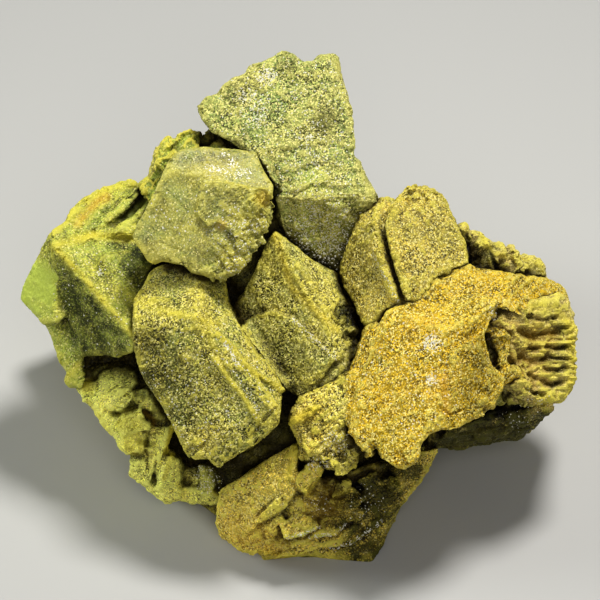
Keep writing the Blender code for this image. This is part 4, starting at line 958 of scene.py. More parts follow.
goldBlock = {
    "look": dict(name="goldDrusy", cool=(0.31, 0.25, 0.02), warm=(0.48, 0.31, 0.012), warmShare=0.7,
        contrast=0.66, glintShare=0.13, rim=0.45, rimColour=(0.75, 0.64, 0.1)),
    "solids": [
        crystal([(10.6, -1.5), (9.8, -3.1), (8.8, -5.6), (8.1, -8.1), (6.9, -10.6), (6.3, -12.5),
            (6.1, -15.6), (5.6, -16.5), (6.3, -17.1), (6.9, -18.4), (8.4, -19.6), (9.1, -19.2),
            (8.9, -17.6), (9.4, -18.4), (10, -19.8), (11.3, -20.4), (12.8, -20.9), (14.1, -20.2),
            (14.9, -19.4), (15, -17.6), (15.6, -16.8), (17.5, -16.1), (19.6, -15.9), (21.3, -15.1),
            (22.8, -14.4), (24.3, -13.1), (25, -11.5), (25.9, -10.3), (25, -9), (24.1, -8.1), (23.6, -6.5),
            (23.1, -4.4), (23.8, -2.8), (24.8, 0.2), (22, 1.5), (16.3, 1.9)],
            [((10.6, -1.5, 5), (6.3, -16, 5.8), (18.1, -5.6, 7.4)), ((18.1, -5.6, 7.4), (17.6, -15, 8),
            (25, -10.3, 4.4)), ((10.6, -1.5, 5), (20, -2.4, 6.2), (16.3, 1.9, 2.4))], -1, 0.35),
        crystal([(11.6, -2.5), (8.6, -8.1), (7.6, -15), (11, -18.6), (14, -17.8), (19, -14.6),
            (23.6, -11.6), (23, -4.4), (20, 0)],
            [((11.6, -2.5, 3), (11, -18.6, 3), (23.6, -11.6, 3))], -10, 0.3),
        crystal([(10.6, -1.5), (16.3, 1.9), (19.4, 3.9), (21.3, 4.3), (25.2, 3.8), (30.9, 2.9),
            (33.6, 1.7), (34.1, 0.5), (34.4, -1.2), (30, -1.8), (27.5, -2.1), (24.8, -1), (22, -3.2)],
            [((10.6, -1.5, 4.8), (20, -2.8, 5.8), (21.3, 4.1, -1)), ((24.8, 0.2, 3.2), (27.5, -2.1, 2),
            (33.5, 0.4, -5))], -13, 0.35),
        lump([(13.2, -0.2, 4.9), (15.1, 0, 4.6), (16.9, 2.7, 3.1), (19.3, 3.8, 1.95), (21.3, 4.5, 1),
            (12.6, -2.4, 5.2), (16, -3, 5.3), (19.5, -1.5, 4.4), (23.5, 0.5, 2.6), (25, 2.4, 0.6)], -6),
        lump([(9.6, -2.6, 3.6), (9.3, -4.6, 4.4), (8.4, -7.6, 4.9), (7.4, -10.4, 4.8), (6.5, -12.4, 4.6),
            (7.9, -3.4, 1.6), (7.2, -6.2, 2), (6.2, -8.6, 2.6), (5.4, -10.6, 3.2)], -9),
        lump([(5.2, -9, 3.4), (7.4, -8.6, 4.4), (8, -10.5, 5), (6.6, -13, 4.9), (6.2, -16, 5),
            (5.2, -15.6, 4.2), (5.4, -12.4, 4.2)], -6),
        layer([(7.4, -12), (10.2, -7.6), (12, -7.4), (12.8, -8.6), (14.2, -8.4), (16.6, -10.6),
            (16.8, -14.4), (14.6, -17.4), (14.4, -19), (12.6, -20.2), (10.4, -19.2), (9.4, -17.2),
            (7, -15)], 6.7, (0.19, -0.08), 2),
        layer([(19.8, -3), (22.4, -0.6), (24.8, 0.2), (24.4, -0.9), (22.4, -2), (20.8, -4.4)], 5.4,
            (-0.3, -0.35), 2),
        layer([(18.6, -6.2), (22.6, -4), (23.2, -7.2), (25, -9.8), (21.6, -13.8), (18.2, -14.4)], 6.5,
            (-0.46, 0.05), 2),
        *crumbs([(24.2, -3, 2.6), (25.6, -5.4, 2.2), (25, -8.6, 2.4), (27.4, -10.6, 0.8)], 16, (0.9, 2.2),
            5),
    ],
    "voxel": 0.23,
    "relief": [soft(5, 0.22), cells((1.4, 1.4, 1.4), (12, 8, 20), 0.05), soft(0.8, 0.05), soft(0.4, 0.09),
        lines((-0.6, 0.8, 0.1), 1.1, 0.16, [(22.5, -1.2, 2.4), (28, 1.6, 3.5)]),
        cells((1.4, 1, 1.2), (8, 12, 30), 0.35, [(8, -19, 1.6), (23, -13.5, 1.6), (13, -20, 1.6)]),
        chips((1.2, 1.2, 1.2), 0.35), trace([(17.4, -13.4), (18.6, -14.2), (20, -13.8)], 0.3, -0.4),
        trace([(17.9, -6), (18.3, -10), (17.8, -14)], 0.6, -0.12)],
    "paintedSheen": [(16.3, -5.3, 1, 0.55), (16.2, -10, 0.6, 0.6), (24, -1.8, 1, 0.12), (13, -10, 7, 0.015)],
    "shade": [([(22.4, -5.8), (21.6, -12.6)], 3.9, 0.5), (9.6, -6, 1.6, 0.3), (8.4, -9, 1.6, 0.2)],
    "stain": [([(17.6, -9.4), (18.2, -13.6)], 1.1, 0.55), (17, -10.5, 2.4, 0.18), (15, -3.5, 2.4, 0.12),
        (12, -12, 3, 0.1)],
}
pieces.append(growPiece("goldBlock", goldBlock))

# dark grooves of the right end, each with its width in mm
grooves = [
    ([(27.8, -4), (29, -4.6), (30.6, -4.5), (32.4, -4)], 1),
    ([(28, -7), (29, -7.7), (30.4, -7.7), (31.2, -7.2)], 1),
    ([(30.8, -8.6), (32, -8.9), (33.4, -8.6)], 0.6), ([(30.4, -10.2), (31.6, -10.7), (32.8, -10.4)], 0.7),
    ([(28.6, -2.2), (30.4, -2.5), (32.2, -2.2)], 0.45), ([(31, -5.8), (32.4, -6.1), (33.8, -5.8)], 0.45),
    ([(28.6, -9.4), (29.6, -9.8)], 0.5), ([(28.6, -6), (30, -6.1)], 0.35),
    ([(31.8, -3.3), (33.6, -3.5)], 0.35), ([(32, -7.3), (34, -7.4)], 0.35),
    ([(28.4, -11.2), (30.4, -11.9)], 0.5),
]
rightEnd = {
    "look": dict(name="layeredOchre", cool=(0.36, 0.33, 0.085), warm=(0.48, 0.37, 0.1), warmShare=0.6,
        contrast=0.5, glintShare=0.07, rim=0.7, rimColour=(0.74, 0.66, 0.1), dirt=0.85),
    "solids": [
        crystal([(26.5, -0.6), (32.6, 1), (33.9, 0), (34.5, -2.2), (34.9, -5.6), (34.8, -9.2),
            (34.2, -11.6), (32.9, -13), (30.6, -12.9), (27.5, -12.7), (24, -10.6), (22.8, -4)],
            [((27.5, -2, 0.9), (27.9, -10, 0.7), (34.2, -5.6, -3.2)), ((27.5, -2, 0.8), (27.9, -10, 0.8),
            (23.2, -4, 2.6))], -15, 0.5),
        lump([(24.2, -1.6, 2.4), (27.2, -1.8, 1.8), (27, -4.6, 0.8), (24.6, -4.8, 1.2), (25.6, -7.6, 0.9),
            (27.4, -7.4, 0.6), (26.6, -10.4, 0.2)], -10),
        lump([(22.6, -0.4, 2.8), (28.4, -1, 1.6), (28.8, -2.6, 0.8), (23.2, -3, 2.4)], -8),
        lump([(24.6, -9, 2), (27.6, -9.4, 1), (29.6, -11.4, 0), (29.4, -13, -1.2), (25.6, -13, -0.4)],
            -10),
        lump([(20.5, 5.2, -2), (24, 4.4, -3.2), (27.5, 3.8, -4.2), (30, 3.4, -5), (27, 1.8, -2.6),
            (22, 3, -1)], -13),
        lump([(15.6, -19.2, -6), (16.2, -16.4, -5.4), (22, -15, -3.4), (28, -13, -3), (32, -13, -5.6),
            (31.3, -14.3, -7.4), (30.3, -15.6, -8.4), (27.9, -17.6, -9), (24.8, -18.2, -9.2),
            (20.6, -17.3, -8.6)], -15),
        lump([(17.2, -17.6, -4.4), (18.4, -16, -3.4), (20.4, -16.2, -3.6), (20, -18, -5.4)], -10),
        lump([(25, -14, -1.6), (28.4, -13.4, -1.4), (29.6, -15.2, -4), (26.4, -15.6, -4)], -10),
        lump([(29, -13, -2), (31.6, -12.8, -3.4), (31.4, -14.4, -5.6), (29.2, -14.6, -4.6)], -10),
        lump([(19.6, 9, -3.4), (21.3, 8.6, -3), (22.8, 8.2, -3.2), (22, 5.4, -0.8), (20.4, 4.8, -1)], -11),
        lump([(22, 8.2, -4.4), (23.9, 7.4, -4.2), (25.1, 5.9, -3.6), (24.6, 3.8, -2), (21.7, 4.4, -2.2)],
            -13),
        lump([(24.6, 6, -6.4), (26.6, 5.3, -5.6), (28.6, 5.3, -5.4), (29.8, 5.6, -6), (31.1, 4.6, -6.2),
            (31.3, 2.6, -5.4), (27.6, 2, -3.2), (24.6, 3.8, -3.6)], -14),
        *crumbs([(24.4, -2.4, 2.2), (25, -4.6, 1.8), (25.8, -7.6, 1.5), (27.2, -10.6, 0.9),
            (29, -12.4, -0.6)], 34, (1, 2.2), 6),
        *crumbs([(26.2, -3, 1.6), (26.6, -6, 1.2), (27.4, -9.4, 0.8)], 12, (0.9, 1.6), 9),
        *crumbs([(26, -14, -1.8), (29, -14, -3), (31, -13.4, -4)], 12, (0.8, 1.6), 12),
        *crumbs([(20.4, 7.8, -2.6), (23, 6.4, -3.4), (26, 4.6, -4.2), (29.6, 4.2, -5.2)], 5, (2, 3.2), 22),
    ],
    "voxel": 0.23,
    "relief": [soft(3.5, 0.25), soft(1.3, 0.22, [(31, -6, 6)]),
        *[trace(path, width, -1) for path, width in grooves], trace([(20.9, 7), (21.3, 4.2)], 0.6, -0.6),
        trace([(23.8, 6.4), (24.6, 4)], 0.5, -0.5),
        lines((0.06, 1, 0.05), 0.85, 0.24, [(31, -6.5, 5)], waver=1.8, wander=0.7),
        cells((2.2, 0.8, 1.6), (0, 0, 4), 0.22, [(31, -7, 5.5)]),
        facets((1.8, 1.5, 1.5), (14, 20, 30), 0.4, [(22, 6.5, 2.4), (27, 4.5, 2.6)]),
        cells((1.2, 1.2, 1.2), (14, 20, 30), 0.25, [(25.5, -7, 3.2), (28, -14, 3)]),
        cells((2.6, 1.4, 1.6), (14, 20, 10), 0.4, [(23, -17, 6)]), soft(0.8, 0.12), soft(0.4, 0.08),
        chips((1.3, 0.8, 1.3), 0.35)],
    "paintedSheen": [(27.4, -14.6, 1.6, 0.03), (29.4, -12.6, 1.4, 0.04)],
    "shade": [(25.4, -7.5, 2.6, 0.5), (30, -6, 3, 0.3), (25, -18, 5.5, 1.35), (30.5, -16, 2.2, 0.9),
        (19.5, -18.6, 3, 1.3), ([(28.4, -2.4), (28.7, -6), (29, -10.6)], 1.6, 0.4),
        ([(20.9, 7), (21.3, 4.2)], 0.6, 1.2), ([(23.8, 6.4), (24.6, 4)], 0.5, 1), (21, 7, 1, 0.4),
        (23, 5.4, 1.2, 0.55), (26, -12.4, 2, 0.5),
        *[(path, width + 0.15, 0.75) for path, width in grooves]],
    "stain": [([(28.6, -3), (28.9, -6), (29.2, -9.6)], 1.8, 0.14), (26, -4, 2, 0.2), (29, -9, 2.4, 0.18),
        (30, -4.8, 2.2, 0.24), (27.4, -8, 2, 0.2)],
    "glow": [([(28, -0.6), (32, -1), (34, -3.4), (34.4, -8), (33.6, -11.8), (30, -12.6)], 1.2, 0.6),
        ([(22.6, 8), (24.8, 5.6), (30.4, 4.8)], 0.5, 0.4)],
}
pieces.append(growPiece("rightEnd", rightEnd))

drusyLumps = {
    "look": dict(name="lumpOchre", cool=(0.37, 0.35, 0.06), warm=(0.5, 0.39, 0.06), warmShare=0.6,
        contrast=0.85, glintShare=0.13),
    "solids": [
        lump([(0, -12, 2.6), (5.6, -9, 3.2), (7.5, -8.3, 3), (6.6, -12.5, 4.6), (5.8, -16.3, 4.6),
            (1.9, -16.5, 3.4), (-0.4, -17.5, 1.8), (-1, -16.3, 2.2), (-1.5, -15, 2.4), (-1, -13.5, 2.6)],
            -8),
        lump([(-1.3, -15, 3.2), (1.3, -13.1, 3.9), (2.1, -13.8, 4.1), (-0.5, -15.8, 3.4)], -2),
        lump([(-0.4, -17.3, 2), (1.5, -15.8, 3.8), (5, -15.8, 4.6), (7.3, -18.1, 3.8), (7.3, -19.4, 3),
            (6.2, -21.2, 2.4), (5.4, -21.9, 2.2), (3.8, -20.8, 2.8), (1.5, -19.6, 2.6), (0, -19.8, 1.6)],
            -7),
        *crumbs([(0.6, -17.4, 3.2), (3, -19.4, 3.2), (5.6, -20.8, 2.8), (6.8, -18.8, 3.6)], 18, (0.8, 1.7),
            3),
    ],
    "voxel": 0.22,
    "relief": [soft(3, 0.2), cells((1.1, 1, 1), (14, 20, 30), 0.28, [(4, -18.5, 4.5)]),
        lines((-0.6, 0.8, 0), 1.2, 0.15, [(4, -13, 4)]), soft(0.7, 0.12), soft(0.36, 0.1),
        chips((1, 1, 1), 0.35)],
    "paintedSheen": [(4.5, -17.6, 1.6, 0.15), (2.4, -20.8, 1.2, 0.15)],
    "shade": [(0.6, -14.4, 1.6, -0.15)],
    "stain": [(0.4, -14.4, 1.4, 0.15)],
    "glow": [([(-1.2, -15.4), (1.9, -13.4)], 0.9, 0.7)],
}
pieces.append(growPiece("drusyLumps", drusyLumps))

# splits between the flakes, each with its width in mm
splits = [
    ([(-0.4, -24.4), (-1.7, -26.4), (-3.2, -27.2), (-5, -28.4), (-6.4, -29.6)], 0.45),
    ([(-1, -22.9), (0.6, -25), (3.6, -25.6)], 0.5), ([(-3.4, -25), (-5.4, -27)], 0.25),
    ([(-1.6, -30.2), (0.6, -29.9), (2.4, -28.6)], 0.35), ([(1.4, -30.2), (4.6, -29.8), (6, -28.4)], 0.35),
    ([(2.6, -31.6), (5.2, -31.2), (7.8, -29)], 0.35), ([(-4.4, -32.2), (0, -31.2)], 0.25),
]
lowerWedges = {
    "look": dict(name="wedgeOlive", cool=(0.42, 0.36, 0.06), warm=(0.6, 0.44, 0.06), warmShare=0.6,
        contrast=0.64, glintShare=0.1),
    "solids": [
        lump([(-10, -23.9, -3.8), (-4.8, -21.3, -1.4), (-0.4, -17.8, 0.6), (0, -19.4, 1),
            (-0.7, -22.6, 1.2), (-0.6, -24.4, 0.4), (-2.8, -27.2, -1.4), (-5.6, -29, -3),
            (-5.7, -32.3, -6), (-7.9, -31.6, -6.8), (-10.3, -30.2, -7.6), (-10.9, -28.4, -7.4),
            (-10.2, -25.8, -6)], -14),
        lump([(-1, -24, -0.6), (5, -21.6, -0.4), (12.3, -20, -2), (17.8, -18.4, -5), (15, -23.4, -6.6),
            (13, -26, -7.4), (10, -28.4, -7.4), (3.1, -32.2, -8.2), (-4.8, -33, -8.4),
            (-5.6, -31.2, -6.6)], -15),
        lump([(1.9, -32.6, -8.4), (4.4, -31.8, -8), (10, -27.7, -7.2), (12.2, -26.2, -8),
            (10.6, -31, -8.6), (9, -33.4, -8.2)], -14),
        lump([(-0.6, -24.2, 0.3), (0.8, -22.6, 0.8), (4.4, -22.2, 0.6), (7.6, -24, -1), (6.8, -26.4, -2.4),
            (3.4, -27.2, -2.4), (0.4, -27, -1.6), (-2, -26.4, -0.8)], -10),
        lump([(7, -22.4, 0), (9.6, -21.4, -0.6), (11.4, -22.6, -2.2), (8.6, -24.2, -2)], -10),
        lump([(-3.2, -26.6, -1.7), (-1, -25.6, -0.8), (3, -26.4, -1.9), (6.4, -26, -2.8),
            (8.6, -27.6, -4.8), (5, -30.6, -5.4), (0.5, -31, -4.8), (-3.8, -30.4, -4.2),
            (-5.4, -28.4, -2.6)], -12),
        lump([(5, -22, -0.8), (9, -20.8, -1.4), (14, -20, -3), (13, -24.6, -5.6), (9, -26.6, -5.4)], -12),
        lump([(1.2, -29, -3.2), (3.8, -28.8, -3.4), (4.2, -31, -4.6), (1.4, -31.2, -4.6)], -10),
        lump([(7, -26, -3.6), (9.8, -25.6, -4.2), (10.4, -28.2, -6), (7.4, -28.4, -5.2)], -11),
        layer([(-0.8, -24), (-0.4, -21.8), (1.2, -19.9), (2.4, -20), (3.2, -21.2), (2, -22.6),
            (0.6, -24.2)], 2.2, (0.15, 0.15), 3),
        layer([(4, -24.7), (4.4, -22.9), (5.6, -22.2), (6.5, -22.9), (5.4, -24.3)], 1.3, (0.1, 0.1), 3),
        layer([(9.8, -23.4), (10.4, -22.2), (12.2, -22.3), (12.8, -23.4), (11.2, -24.4)], -0.9, (0, 0.1),
            3),
        layer([(-2.4, -28.2), (-0.6, -26.6), (1.6, -27.2), (2.4, -28.4), (0.4, -29.6), (-1.8, -30)], -1.2,
            (0.05, 0.1), 2.5),
        layer([(1.2, -29.9), (1.4, -28.2), (3.4, -27.2), (5.4, -27.3), (5.8, -28.3), (4.4, -29.5)], -2.4,
            (0, 0.15), 2.5),
        layer([(5.8, -28), (5.2, -26.6), (7, -25.6), (8.6, -26.4), (7.8, -27.8)], -3, (-0.1, 0.15), 2.5),
        layer([(2.4, -31.3), (2.8, -29.8), (5.2, -28.6), (7.2, -28.1), (7.7, -28.9), (5, -31.1)], -4,
            (0, 0.15), 2.5),
        layer([(3.4, -31.7), (6.6, -30.9), (10.5, -28.1), (10, -27.4), (7.2, -28.6), (4.6, -30.2)], -5.4,
            (0.05, 0.2), 2.5),
        layer([(-5.4, -31.7), (-4, -29.4), (-1, -29.6), (2.2, -29.9), (2.8, -31.2), (-0.5, -32.4),
            (-3.2, -32.6)], -4.2, (0.05, 0.3), 2),
        layer([(-6.2, -29), (-4.4, -25.8), (-0.8, -23.6), (-0.6, -24.8), (-3, -27.4)], -0.6, (0.4, 0.3),
            2),
        *crumbs([(-2.4, -27.6, -1.6), (-4.4, -29.4, -3), (-2.6, -31, -4.2)], 12, (0.7, 1.3), 14),
        *crumbs([(1.4, -24.6, 0.2), (4.6, -25.6, -1), (8, -24.6, -1.6)], 14, (0.7, 1.4), 15),
    ],
    "voxel": 0.23,
    "relief": [soft(4, 0.2),
        facets((1.3, 1, 1), (4, 30, 38), 0.3, [(3, -25, 3.4), (-3.6, -30, 2.4), (11, -22, 2.4)]),
        facets((0.9, 0.8, 0.8), (4, 10, 38), 0.09), soft(0.4, 0.08), chips((1.2, 1, 1), 0.25),
        *[trace(path, width, -0.4) for path, width in splits]],
    "paintedSheen": [(2.4, -25.6, 1.4, 0.06), (8.5, -25.6, 2, 0.05), (1.8, -20.4, 0.8, 0.15),
        ([(-1.9, -29.8), (0.4, -29.4), (2.3, -28.3)], 0.5, 0.3),
        ([(1.2, -29.8), (4.4, -29.4), (5.8, -28.2)], 0.4, 0.25),
        ([(3.6, -31.5), (6.6, -30.6), (10.2, -27.9)], 0.5, 0.3)],
    "shade": [(9.6, -25, 3.4, 1.2), (13, -21, 3, 0.9), (8.6, -31.4, 3.6, 0.95), (4.6, -26, 3, 0.95),
        (8.4, -28.4, 2.6, 1), (2.6, -24, 1.4, 0.6), (5.4, -25, 1.6, 0.5),
        ([(-5.5, -19), (-10, -24.4)], 1.8, 0.5), (-3, -20.4, 2, 0.25),
        ([(1, -30.6), (3.6, -30.2)], 0.4, 0.5), ([(-1.9, -29.8), (0.4, -29.4), (2.3, -28.3)], 0.6, -0.45),
        ([(1.2, -29.8), (4.4, -29.4), (5.8, -28.2)], 0.5, -0.4),
        ([(3.6, -31.5), (6.6, -30.6), (10.2, -27.9)], 0.6, -0.5),
        *[(path, width + 0.15, 0.6) for path, width in splits]],
    "stain": [(-7, -29, 3, 0.22), (-3.5, -30.6, 2, 0.2), (3, -25.6, 2.4, 0.15)],
    "glow": [([(-0.6, -18.6), (-1.6, -22.4)], 1, 0.45), ([(0.8, -24.2), (2.8, -21.6)], 0.45, 0.4),
        ([(-5.4, -31.8), (0, -32.4)], 0.7, 0.3), ([(4.4, -24.6), (6, -23.8)], 0.5, 0.3)],
}
pieces.append(growPiece("lowerWedges", lowerWedges))

# cracks of the lower left, each with its width in mm
cracks = [
    ([(-24.6, -14), (-23.3, -14.5), (-22.4, -14.2), (-21.4, -13.7), (-20.6, -13.4)], 0.4),
    ([(-23.7, -14.3), (-22.9, -14.6)], 0.5),
    ([(-19.6, -14), (-18.6, -14.6), (-18.5, -15.3), (-16.8, -15.7)], 0.42),
    ([(-21.3, -19.9), (-19.7, -19.7)], 0.75), ([(-19.2, -17), (-19.4, -19.4), (-19.2, -22.6)], 0.35),
    ([(-22, -12), (-20.6, -11)], 0.2), ([(-18.2, -20.4), (-18.6, -23.4)], 0.35),
]
lowerLeft = {
    "look": dict(name="paleGreen", cool=(0.62, 0.67, 0.13), warm=(0.88, 0.79, 0.14), warmShare=0.5,
        contrast=0.62, glintShare=0.08, rim=0.75, rimColour=(0.82, 0.82, 0.16), tilt=0.4, bump=0.25),
    "solids": [
        lump([(-26.2, -12.4, -6.6), (-24, -11.8, -5.5), (-21, -11.4, -5.1), (-18.4, -11, -5.6),
            (-17.2, -14, -5.2), (-15.9, -15.6, -5), (-17, -19.8, -5.4), (-20, -19.8, -6.4),
            (-23.2, -17.6, -6), (-25.2, -15.6, -6.5), (-22, -14.5, -4.7), (-19.5, -15.5, -4.5)], -15),
        lump([(-21.6, -19.4, -8.4), (-19, -18.4, -6.8), (-16, -18.8, -6.3), (-14.9, -20.4, -7.4),
            (-14.8, -25.3, -9.8), (-17, -25.9, -10.2), (-19.2, -24.2, -9.6), (-21.7, -22.2, -9.4)], -15),
        lump([(-15.4, -21.4, -9.4), (-13, -21, -8.7), (-10, -21.6, -8.4), (-9.4, -26, -10),
            (-12, -25.5, -10.8), (-15.4, -25.7, -11.2)], -15),
        lump([(-27.2, -8.5, -9.2), (-22.5, -7.8, -8.6), (-18.6, -10.4, -7), (-18, -13, -6),
            (-20.6, -13.8, -5.9), (-25, -14.6, -6.8), (-27.6, -12.7, -8), (-28.5, -11, -8.6)], -15),
        lump([(-25.6, -9.3, -7.6), (-24.2, -8.4, -8), (-20.9, -8.6, -7.6), (-20, -10.4, -6.2),
            (-21.4, -11.8, -5.2), (-24.1, -12.2, -5.2), (-25.7, -12.6, -6.2)], -13),
        lump([(-24.1, -11.8, -4.8), (-22.7, -11, -4.8), (-20.9, -11.3, -4.7), (-21, -12.9, -3.9),
            (-22, -13.6, -3.9), (-23.9, -13.3, -4.3)], -10),
        lump([(-27.4, -11.6, -7.4), (-25.4, -11.6, -6.3), (-25.4, -12.8, -6.5), (-26.8, -13, -7.4)], -12),
        lump([(-28, -10.3, -7.4), (-25.9, -10.2, -6.6), (-25.7, -11.9, -6), (-27.8, -12.1, -6.8)], -12),
        lump([(-26.8, -12.6, -7), (-25.4, -12.3, -6), (-24.4, -13.6, -5.8), (-23.2, -16.4, -5.6),
            (-23.5, -17.4, -6.6), (-25.2, -15.8, -7.4)], -13),
        lump([(-20.9, -11.6, -5.2), (-18.9, -10.7, -5.6), (-17.7, -12.5, -5), (-17.4, -14.2, -4.8),
            (-19.3, -13.9, -4.1), (-20.7, -13.2, -4.3)], -12),
        lump([(-23.4, -16.2, -4.5), (-22.2, -14.8, -3.8), (-19.8, -13.5, -3.7), (-19.4, -15, -3.3),
            (-19.8, -16.4, -3), (-22, -17.2, -3.3)], -10),
        lump([(-23.4, -17.3, -5.6), (-22, -16.9, -4.6), (-19.8, -16.2, -4.4), (-18.5, -17.5, -4.8),
            (-18.9, -19.1, -5.6), (-20, -19.7, -6.2), (-21.8, -19.7, -6.6), (-23, -18.6, -6.6)], -13),
        lump([(-19.4, -14.2, -4.6), (-17.2, -13.8, -4.9), (-16.2, -15.4, -5), (-17, -15.9, -4.6),
            (-18.9, -15.6, -4.3)], -12),
        lump([(-18.4, -15.8, -4.9), (-16.2, -15.3, -3.5), (-15.7, -16.2, -4), (-17.2, -19.4, -4),
            (-18.4, -22, -6.4), (-19.4, -23.4, -8), (-19.4, -19, -6)], -13),
        lump([(-21.6, -20, -8), (-19, -19.4, -6), (-18.6, -21.4, -6.9), (-19, -23.8, -8.6),
            (-21.6, -22.4, -9.4)], -15),
        lump([(-18.4, -20.2, -6.8), (-16.2, -19.3, -4.2), (-15.1, -19.9, -5.8), (-15, -25.2, -9),
            (-16.9, -25.8, -9.4), (-18.9, -24, -9.2), (-17.3, -22.7, -5.9)], -13),
        lump([(-15.6, -20, -7.6), (-14.6, -20.4, -8), (-14.8, -25.2, -10.4), (-17.8, -25.6, -10.4)], -14),
        lump([(-13, -21.4, -8), (-11.3, -21, -7.2), (-10.2, -22.4, -7.4), (-10.8, -24, -8),
            (-12.6, -23.6, -8.6)], -14),
        lump([(-15.4, -23.6, -9.8), (-11.6, -23.8, -8.6), (-9.6, -25, -8.8), (-9.8, -26.1, -9.6),
            (-12, -25.5, -10.4), (-15.2, -25.7, -11)], -15),
        lump([(-27.8, -6, -9.6), (-20, -5, -9), (-18, -9, -9), (-27.4, -9.4, -9.8)], -15),
        *crumbs([(-21.8, -18.6, -5.8), (-20.6, -19, -5.6), (-19.4, -18.2, -4.9)], 12, (0.7, 1.2), 7),
        *crumbs([(-19.2, -15.2, -4.1), (-18.4, -16.4, -4.1)], 5, (0.5, 0.9), 9),
        *crumbs([(-12.8, -21.6, -7.8), (-10.6, -22.8, -7.2)], 4, (0.7, 1.2), 8),
    ],
    "voxel": 0.22,
    "relief": [facets((2.4, 1.9, 1.9), (5, 10, 40), 0.12), facets((0.9, 0.8, 0.8), (25, 10, 10), 0.1),
        soft(0.5, 0.06), chips((1.1, 1.1, 1.1), 0.22),
        *[trace(path, width, -0.55) for path, width in cracks]],
    "paintedSheen": [(-11.8, -22.4, 1.6, 0.14), (-11.6, -24.2, 0.8, 0.1)],
    "shade": [([(-27.4, -8.2), (-23, -7.8), (-19.6, -9.2)], 2, 0.6),
        ([(-14.6, -20.2), (-14.8, -23)], 0.9, 0.6), (-12, -22.6, 1.8, 0.45), (-22.6, -10.4, 2.6, 0.12),
        (-20, -22, 1.4, 0.1), *[(path, width + 0.1, 0.7) for path, width in cracks]],
    "stain": [([(-19.6, -14.2), (-18.4, -15), (-18.4, -16.4)], 0.4, 0.15)],
    "glow": [([(-15.9, -15.8), (-17, -19.2)], 0.55, 0.9), ([(-16.2, -19.6), (-17.2, -22.6)], 0.6, 0.5),
        (-21.6, -15.6, 1.6, 0.35), (-21, -18, 1.6, 0.35), (-26.8, -11, 0.9, 0.5),
        ([(-26.6, -13), (-24, -17)], 0.8, 0.3), ([(-11.6, -24), (-9.6, -25.4)], 0.5, 0.4)],
}
pieces.append(growPiece("lowerLeft", lowerLeft))

upperLeft = {
    "look": dict(name="smallGreen", cool=(0.3, 0.36, 0.05), warm=(0.44, 0.42, 0.05), warmShare=0.4,
        contrast=0.35, glintShare=0.05, rim=0.8),
    "solids": [
        lump([(-18.2, 16.9, -4.2), (-18.2, 18.7, -4.6), (-17.3, 20.1, -4.8), (-16.4, 20.7, -4.8),
            (-15.2, 18, -2.8), (-16.8, 16, -2.4)], -13),
        lump([(-16.2, 19.6, -5.4), (-15, 21, -5.8), (-13.1, 21.3, -6), (-12.2, 20.4, -5.6),
            (-12.4, 17.6, -3.6), (-15.4, 17.6, -3.6)], -13),
        lump([(-12.8, 20.4, -6.6), (-10.8, 21.5, -7), (-9.6, 20.6, -6.2), (-8.2, 18.8, -4.6),
            (-12.4, 17.8, -4.6)], -13),
        lump([(-20.2, 14.6, -7.8), (-17.2, 17.2, -7.8), (-15.6, 15, -2.8), (-18.4, 11.4, -2.6)], -13),
    ],
    "voxel": 0.23,
    "relief": [facets((2.6, 2, 2), (5, 10, 30), 0.45), facets((1.1, 0.9, 0.9), (25, 10, 10), 0.12),
        soft(0.4, 0.05), chips((1.2, 1.2, 1.2), 0.3)],
    "shade": [(-11, 20, 1.6, 0.3)],
}
pieces.append(growPiece("upperLeft", upperLeft))

# the rock behind: (across, back) in mm at each height over the floor
hostRock = {
    "look": dict(name="hostOlive", cool=(0.24, 0.24, 0.05), warm=(0.34, 0.27, 0.05), warmShare=0.5,
        contrast=0.5, glintShare=0.06, rim=0.4),
    "solids": [
        rock([
            (-2, [(-13, -4), (-4, -15), (2, -18.8), (8, -18.8), (9, -17.6), (15, -1.4), (18, 8), (20, 18),
                (10, 27), (-6, 28), (-18, 22), (-24, 9), (-20, -1)]),
            (10, [(-19, -4), (-6, -7), (8, -7), (16, -3), (20, 6), (22, 14), (18, 22), (9, 27), (-8, 30),
                (-20, 24), (-27, 12), (-26, 2)]),
            (24, [(-25, 7), (-8, 7), (8, 7), (20, 8), (20, 12), (14, 16), (5, 25), (-6, 31), (-17, 25),
                (-27, 14)]),
            (35, [(-8, 18), (0, 18), (0, 24), (-6, 28)]),
        ]),
        rock([
            (3, [(16, 2), (25, 10), (24, 16), (14, 16)]),
            (11, [(18, -2), (28, 5), (28, 12), (22, 18), (12, 14)]),
            (19, [(16, 4), (28, 6), (28, 10), (18, 14), (12, 12)]),
        ]),
    ],
    "voxel": 0.48,
    "relief": [soft(7, 0.5), cells((4.5, 3, 3), (14, 20, 30), 0.5),
        cells((1.8, 1.4, 1.4), (30, 5, 12), 0.25), soft(1.2, 0.15), soft(0.6, 0.1), chips((2, 2, 2), 0.6)],
}
pieces.append(growPiece("hostRock", hostRock))

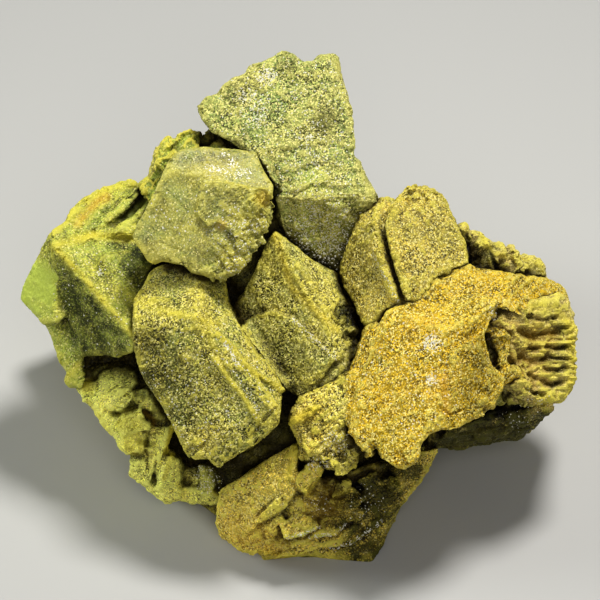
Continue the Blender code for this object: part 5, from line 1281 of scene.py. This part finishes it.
# (across, back, height) in mm, (turn, tip, roll) in degrees, (wide, deep, high) in mm
backCrystals = {
    "look": dict(name="backOlive", cool=(0.32, 0.33, 0.06), warm=(0.46, 0.38, 0.06), warmShare=0.5,
        contrast=0.6, glintShare=0.09),
    "solids": [
        hiddenCrystal((-24, 17, 13), (20, 15, 35), (12, 10, 14)),
        hiddenCrystal((-13, 27, 21), (-15, 30, 10), (14, 10, 12)),
        hiddenCrystal((1, 29, 12), (10, -20, 25), (15, 9, 13)),
        hiddenCrystal((13, 23, 14), (-30, 25, 15), (12, 11, 12)),
        hiddenCrystal((21, 16, 10), (35, -10, 20), (11, 12, 11)),
        hiddenCrystal((-4, 29, 27), (5, 35, -20), (12, 8, 12)),
        hiddenCrystal((-17, 11, 6), (-25, 10, 30), (12, 12, 9)),
        hiddenCrystal((22, 10, 8), (15, 20, -25), (12, 12, 10)),
        hiddenCrystal((-12, 26, 6), (40, 5, 12), (12, 9, 9)),
        hiddenCrystal((13, 23, 4), (-10, -15, 8), (12, 9, 8)),
    ],
    "voxel": 0.4,
    "relief": [soft(5, 0.25), steps((0.4, 0.8, 0.4), 3, 0.25), cells((1.6, 1.4, 1.4), (14, 20, 30), 0.15),
        soft(0.9, 0.12), soft(0.5, 0.08), chips((1.4, 1.4, 1.4), 0.5)],
}
pieces.append(growPiece("backCrystals", backCrystals))

darkenCrevices(pieces)

studio = {
    "floor": 4.0,                # m across
    "floorColour": (0.44, 0.44, 0.43),
    "sky": (0.85, 0.85, 0.84),
    "skyStrength": 0.12,
    "lamps": [                   # where, size in m, watts, beam in degrees, colour
        ((0.13, 0.13, 0.54), 0.14, 0.52, 70, (1, 0.98, 0.94)),
        ((-0.50, 0.05, 0.25), 0.25, 0.20, 60, (0.96, 1, 0.94)),
        ((0.05, -0.45, 0.45), 0.30, 0.13, 60, (1, 0.98, 0.94)),
    ],
    "lens": 336,                 # mm
    "away": 0.7,                 # m from the display side to the camera
}


def addToScene(name, data):
    holder = bpy.data.objects.new(name, data)
    bpy.context.scene.collection.objects.link(holder)
    return holder


bm = bmesh.new()
bmesh.ops.create_grid(bm, x_segments=1, y_segments=1, size=studio["floor"] / 2)
floorMesh = bpy.data.meshes.new("studioFloor")
bm.to_mesh(floorMesh)
bm.free()
floorLook = bpy.data.materials.new("paleFloor")
floorLook.use_nodes = True
floorShader = floorLook.node_tree.nodes["Principled BSDF"]
floorShader.inputs["Base Color"].default_value = (*studio["floorColour"], 1)
floorShader.inputs["Roughness"].default_value = 0.8
floorMesh.materials.append(floorLook)
addToScene("studioFloor", floorMesh)

sky = bpy.data.worlds.new("studioSky")
sky.use_nodes = True
sky.node_tree.nodes["Background"].inputs["Color"].default_value = (*studio["sky"], 1)
sky.node_tree.nodes["Background"].inputs["Strength"].default_value = studio["skyStrength"]
bpy.context.scene.world = sky

middle = displayToWorld @ Vector((0, 0, 0))
for number, (place, size, watts, beam, colour) in enumerate(studio["lamps"]):
    lamp = bpy.data.lights.new(f"softLamp{number}", "AREA")
    lamp.shape = "DISK"
    lamp.size = size
    lamp.energy = watts
    lamp.spread = radians(beam)
    lamp.color = colour
    holder = addToScene(lamp.name, lamp)
    holder.location = place
    holder.rotation_euler = (Vector(place) - middle).to_track_quat("Z", "Y").to_euler()

camera = bpy.data.cameras.new("displayCamera")
camera.sensor_width = 36
camera.lens = studio["lens"]
camera.clip_start = 0.01
cameraHolder = addToScene("displayCamera", camera)
outwards = (displayToWorld.to_3x3() @ Vector((0, 0, 1))).normalized()
cameraHolder.location = middle + outwards * studio["away"]
cameraHolder.rotation_euler = (radians(90 - layout["lean"]), 0, 0)
bpy.context.scene.camera = cameraHolder
bpy.context.scene.view_settings.view_transform = "Standard"

print("floor, lamps and camera placed")
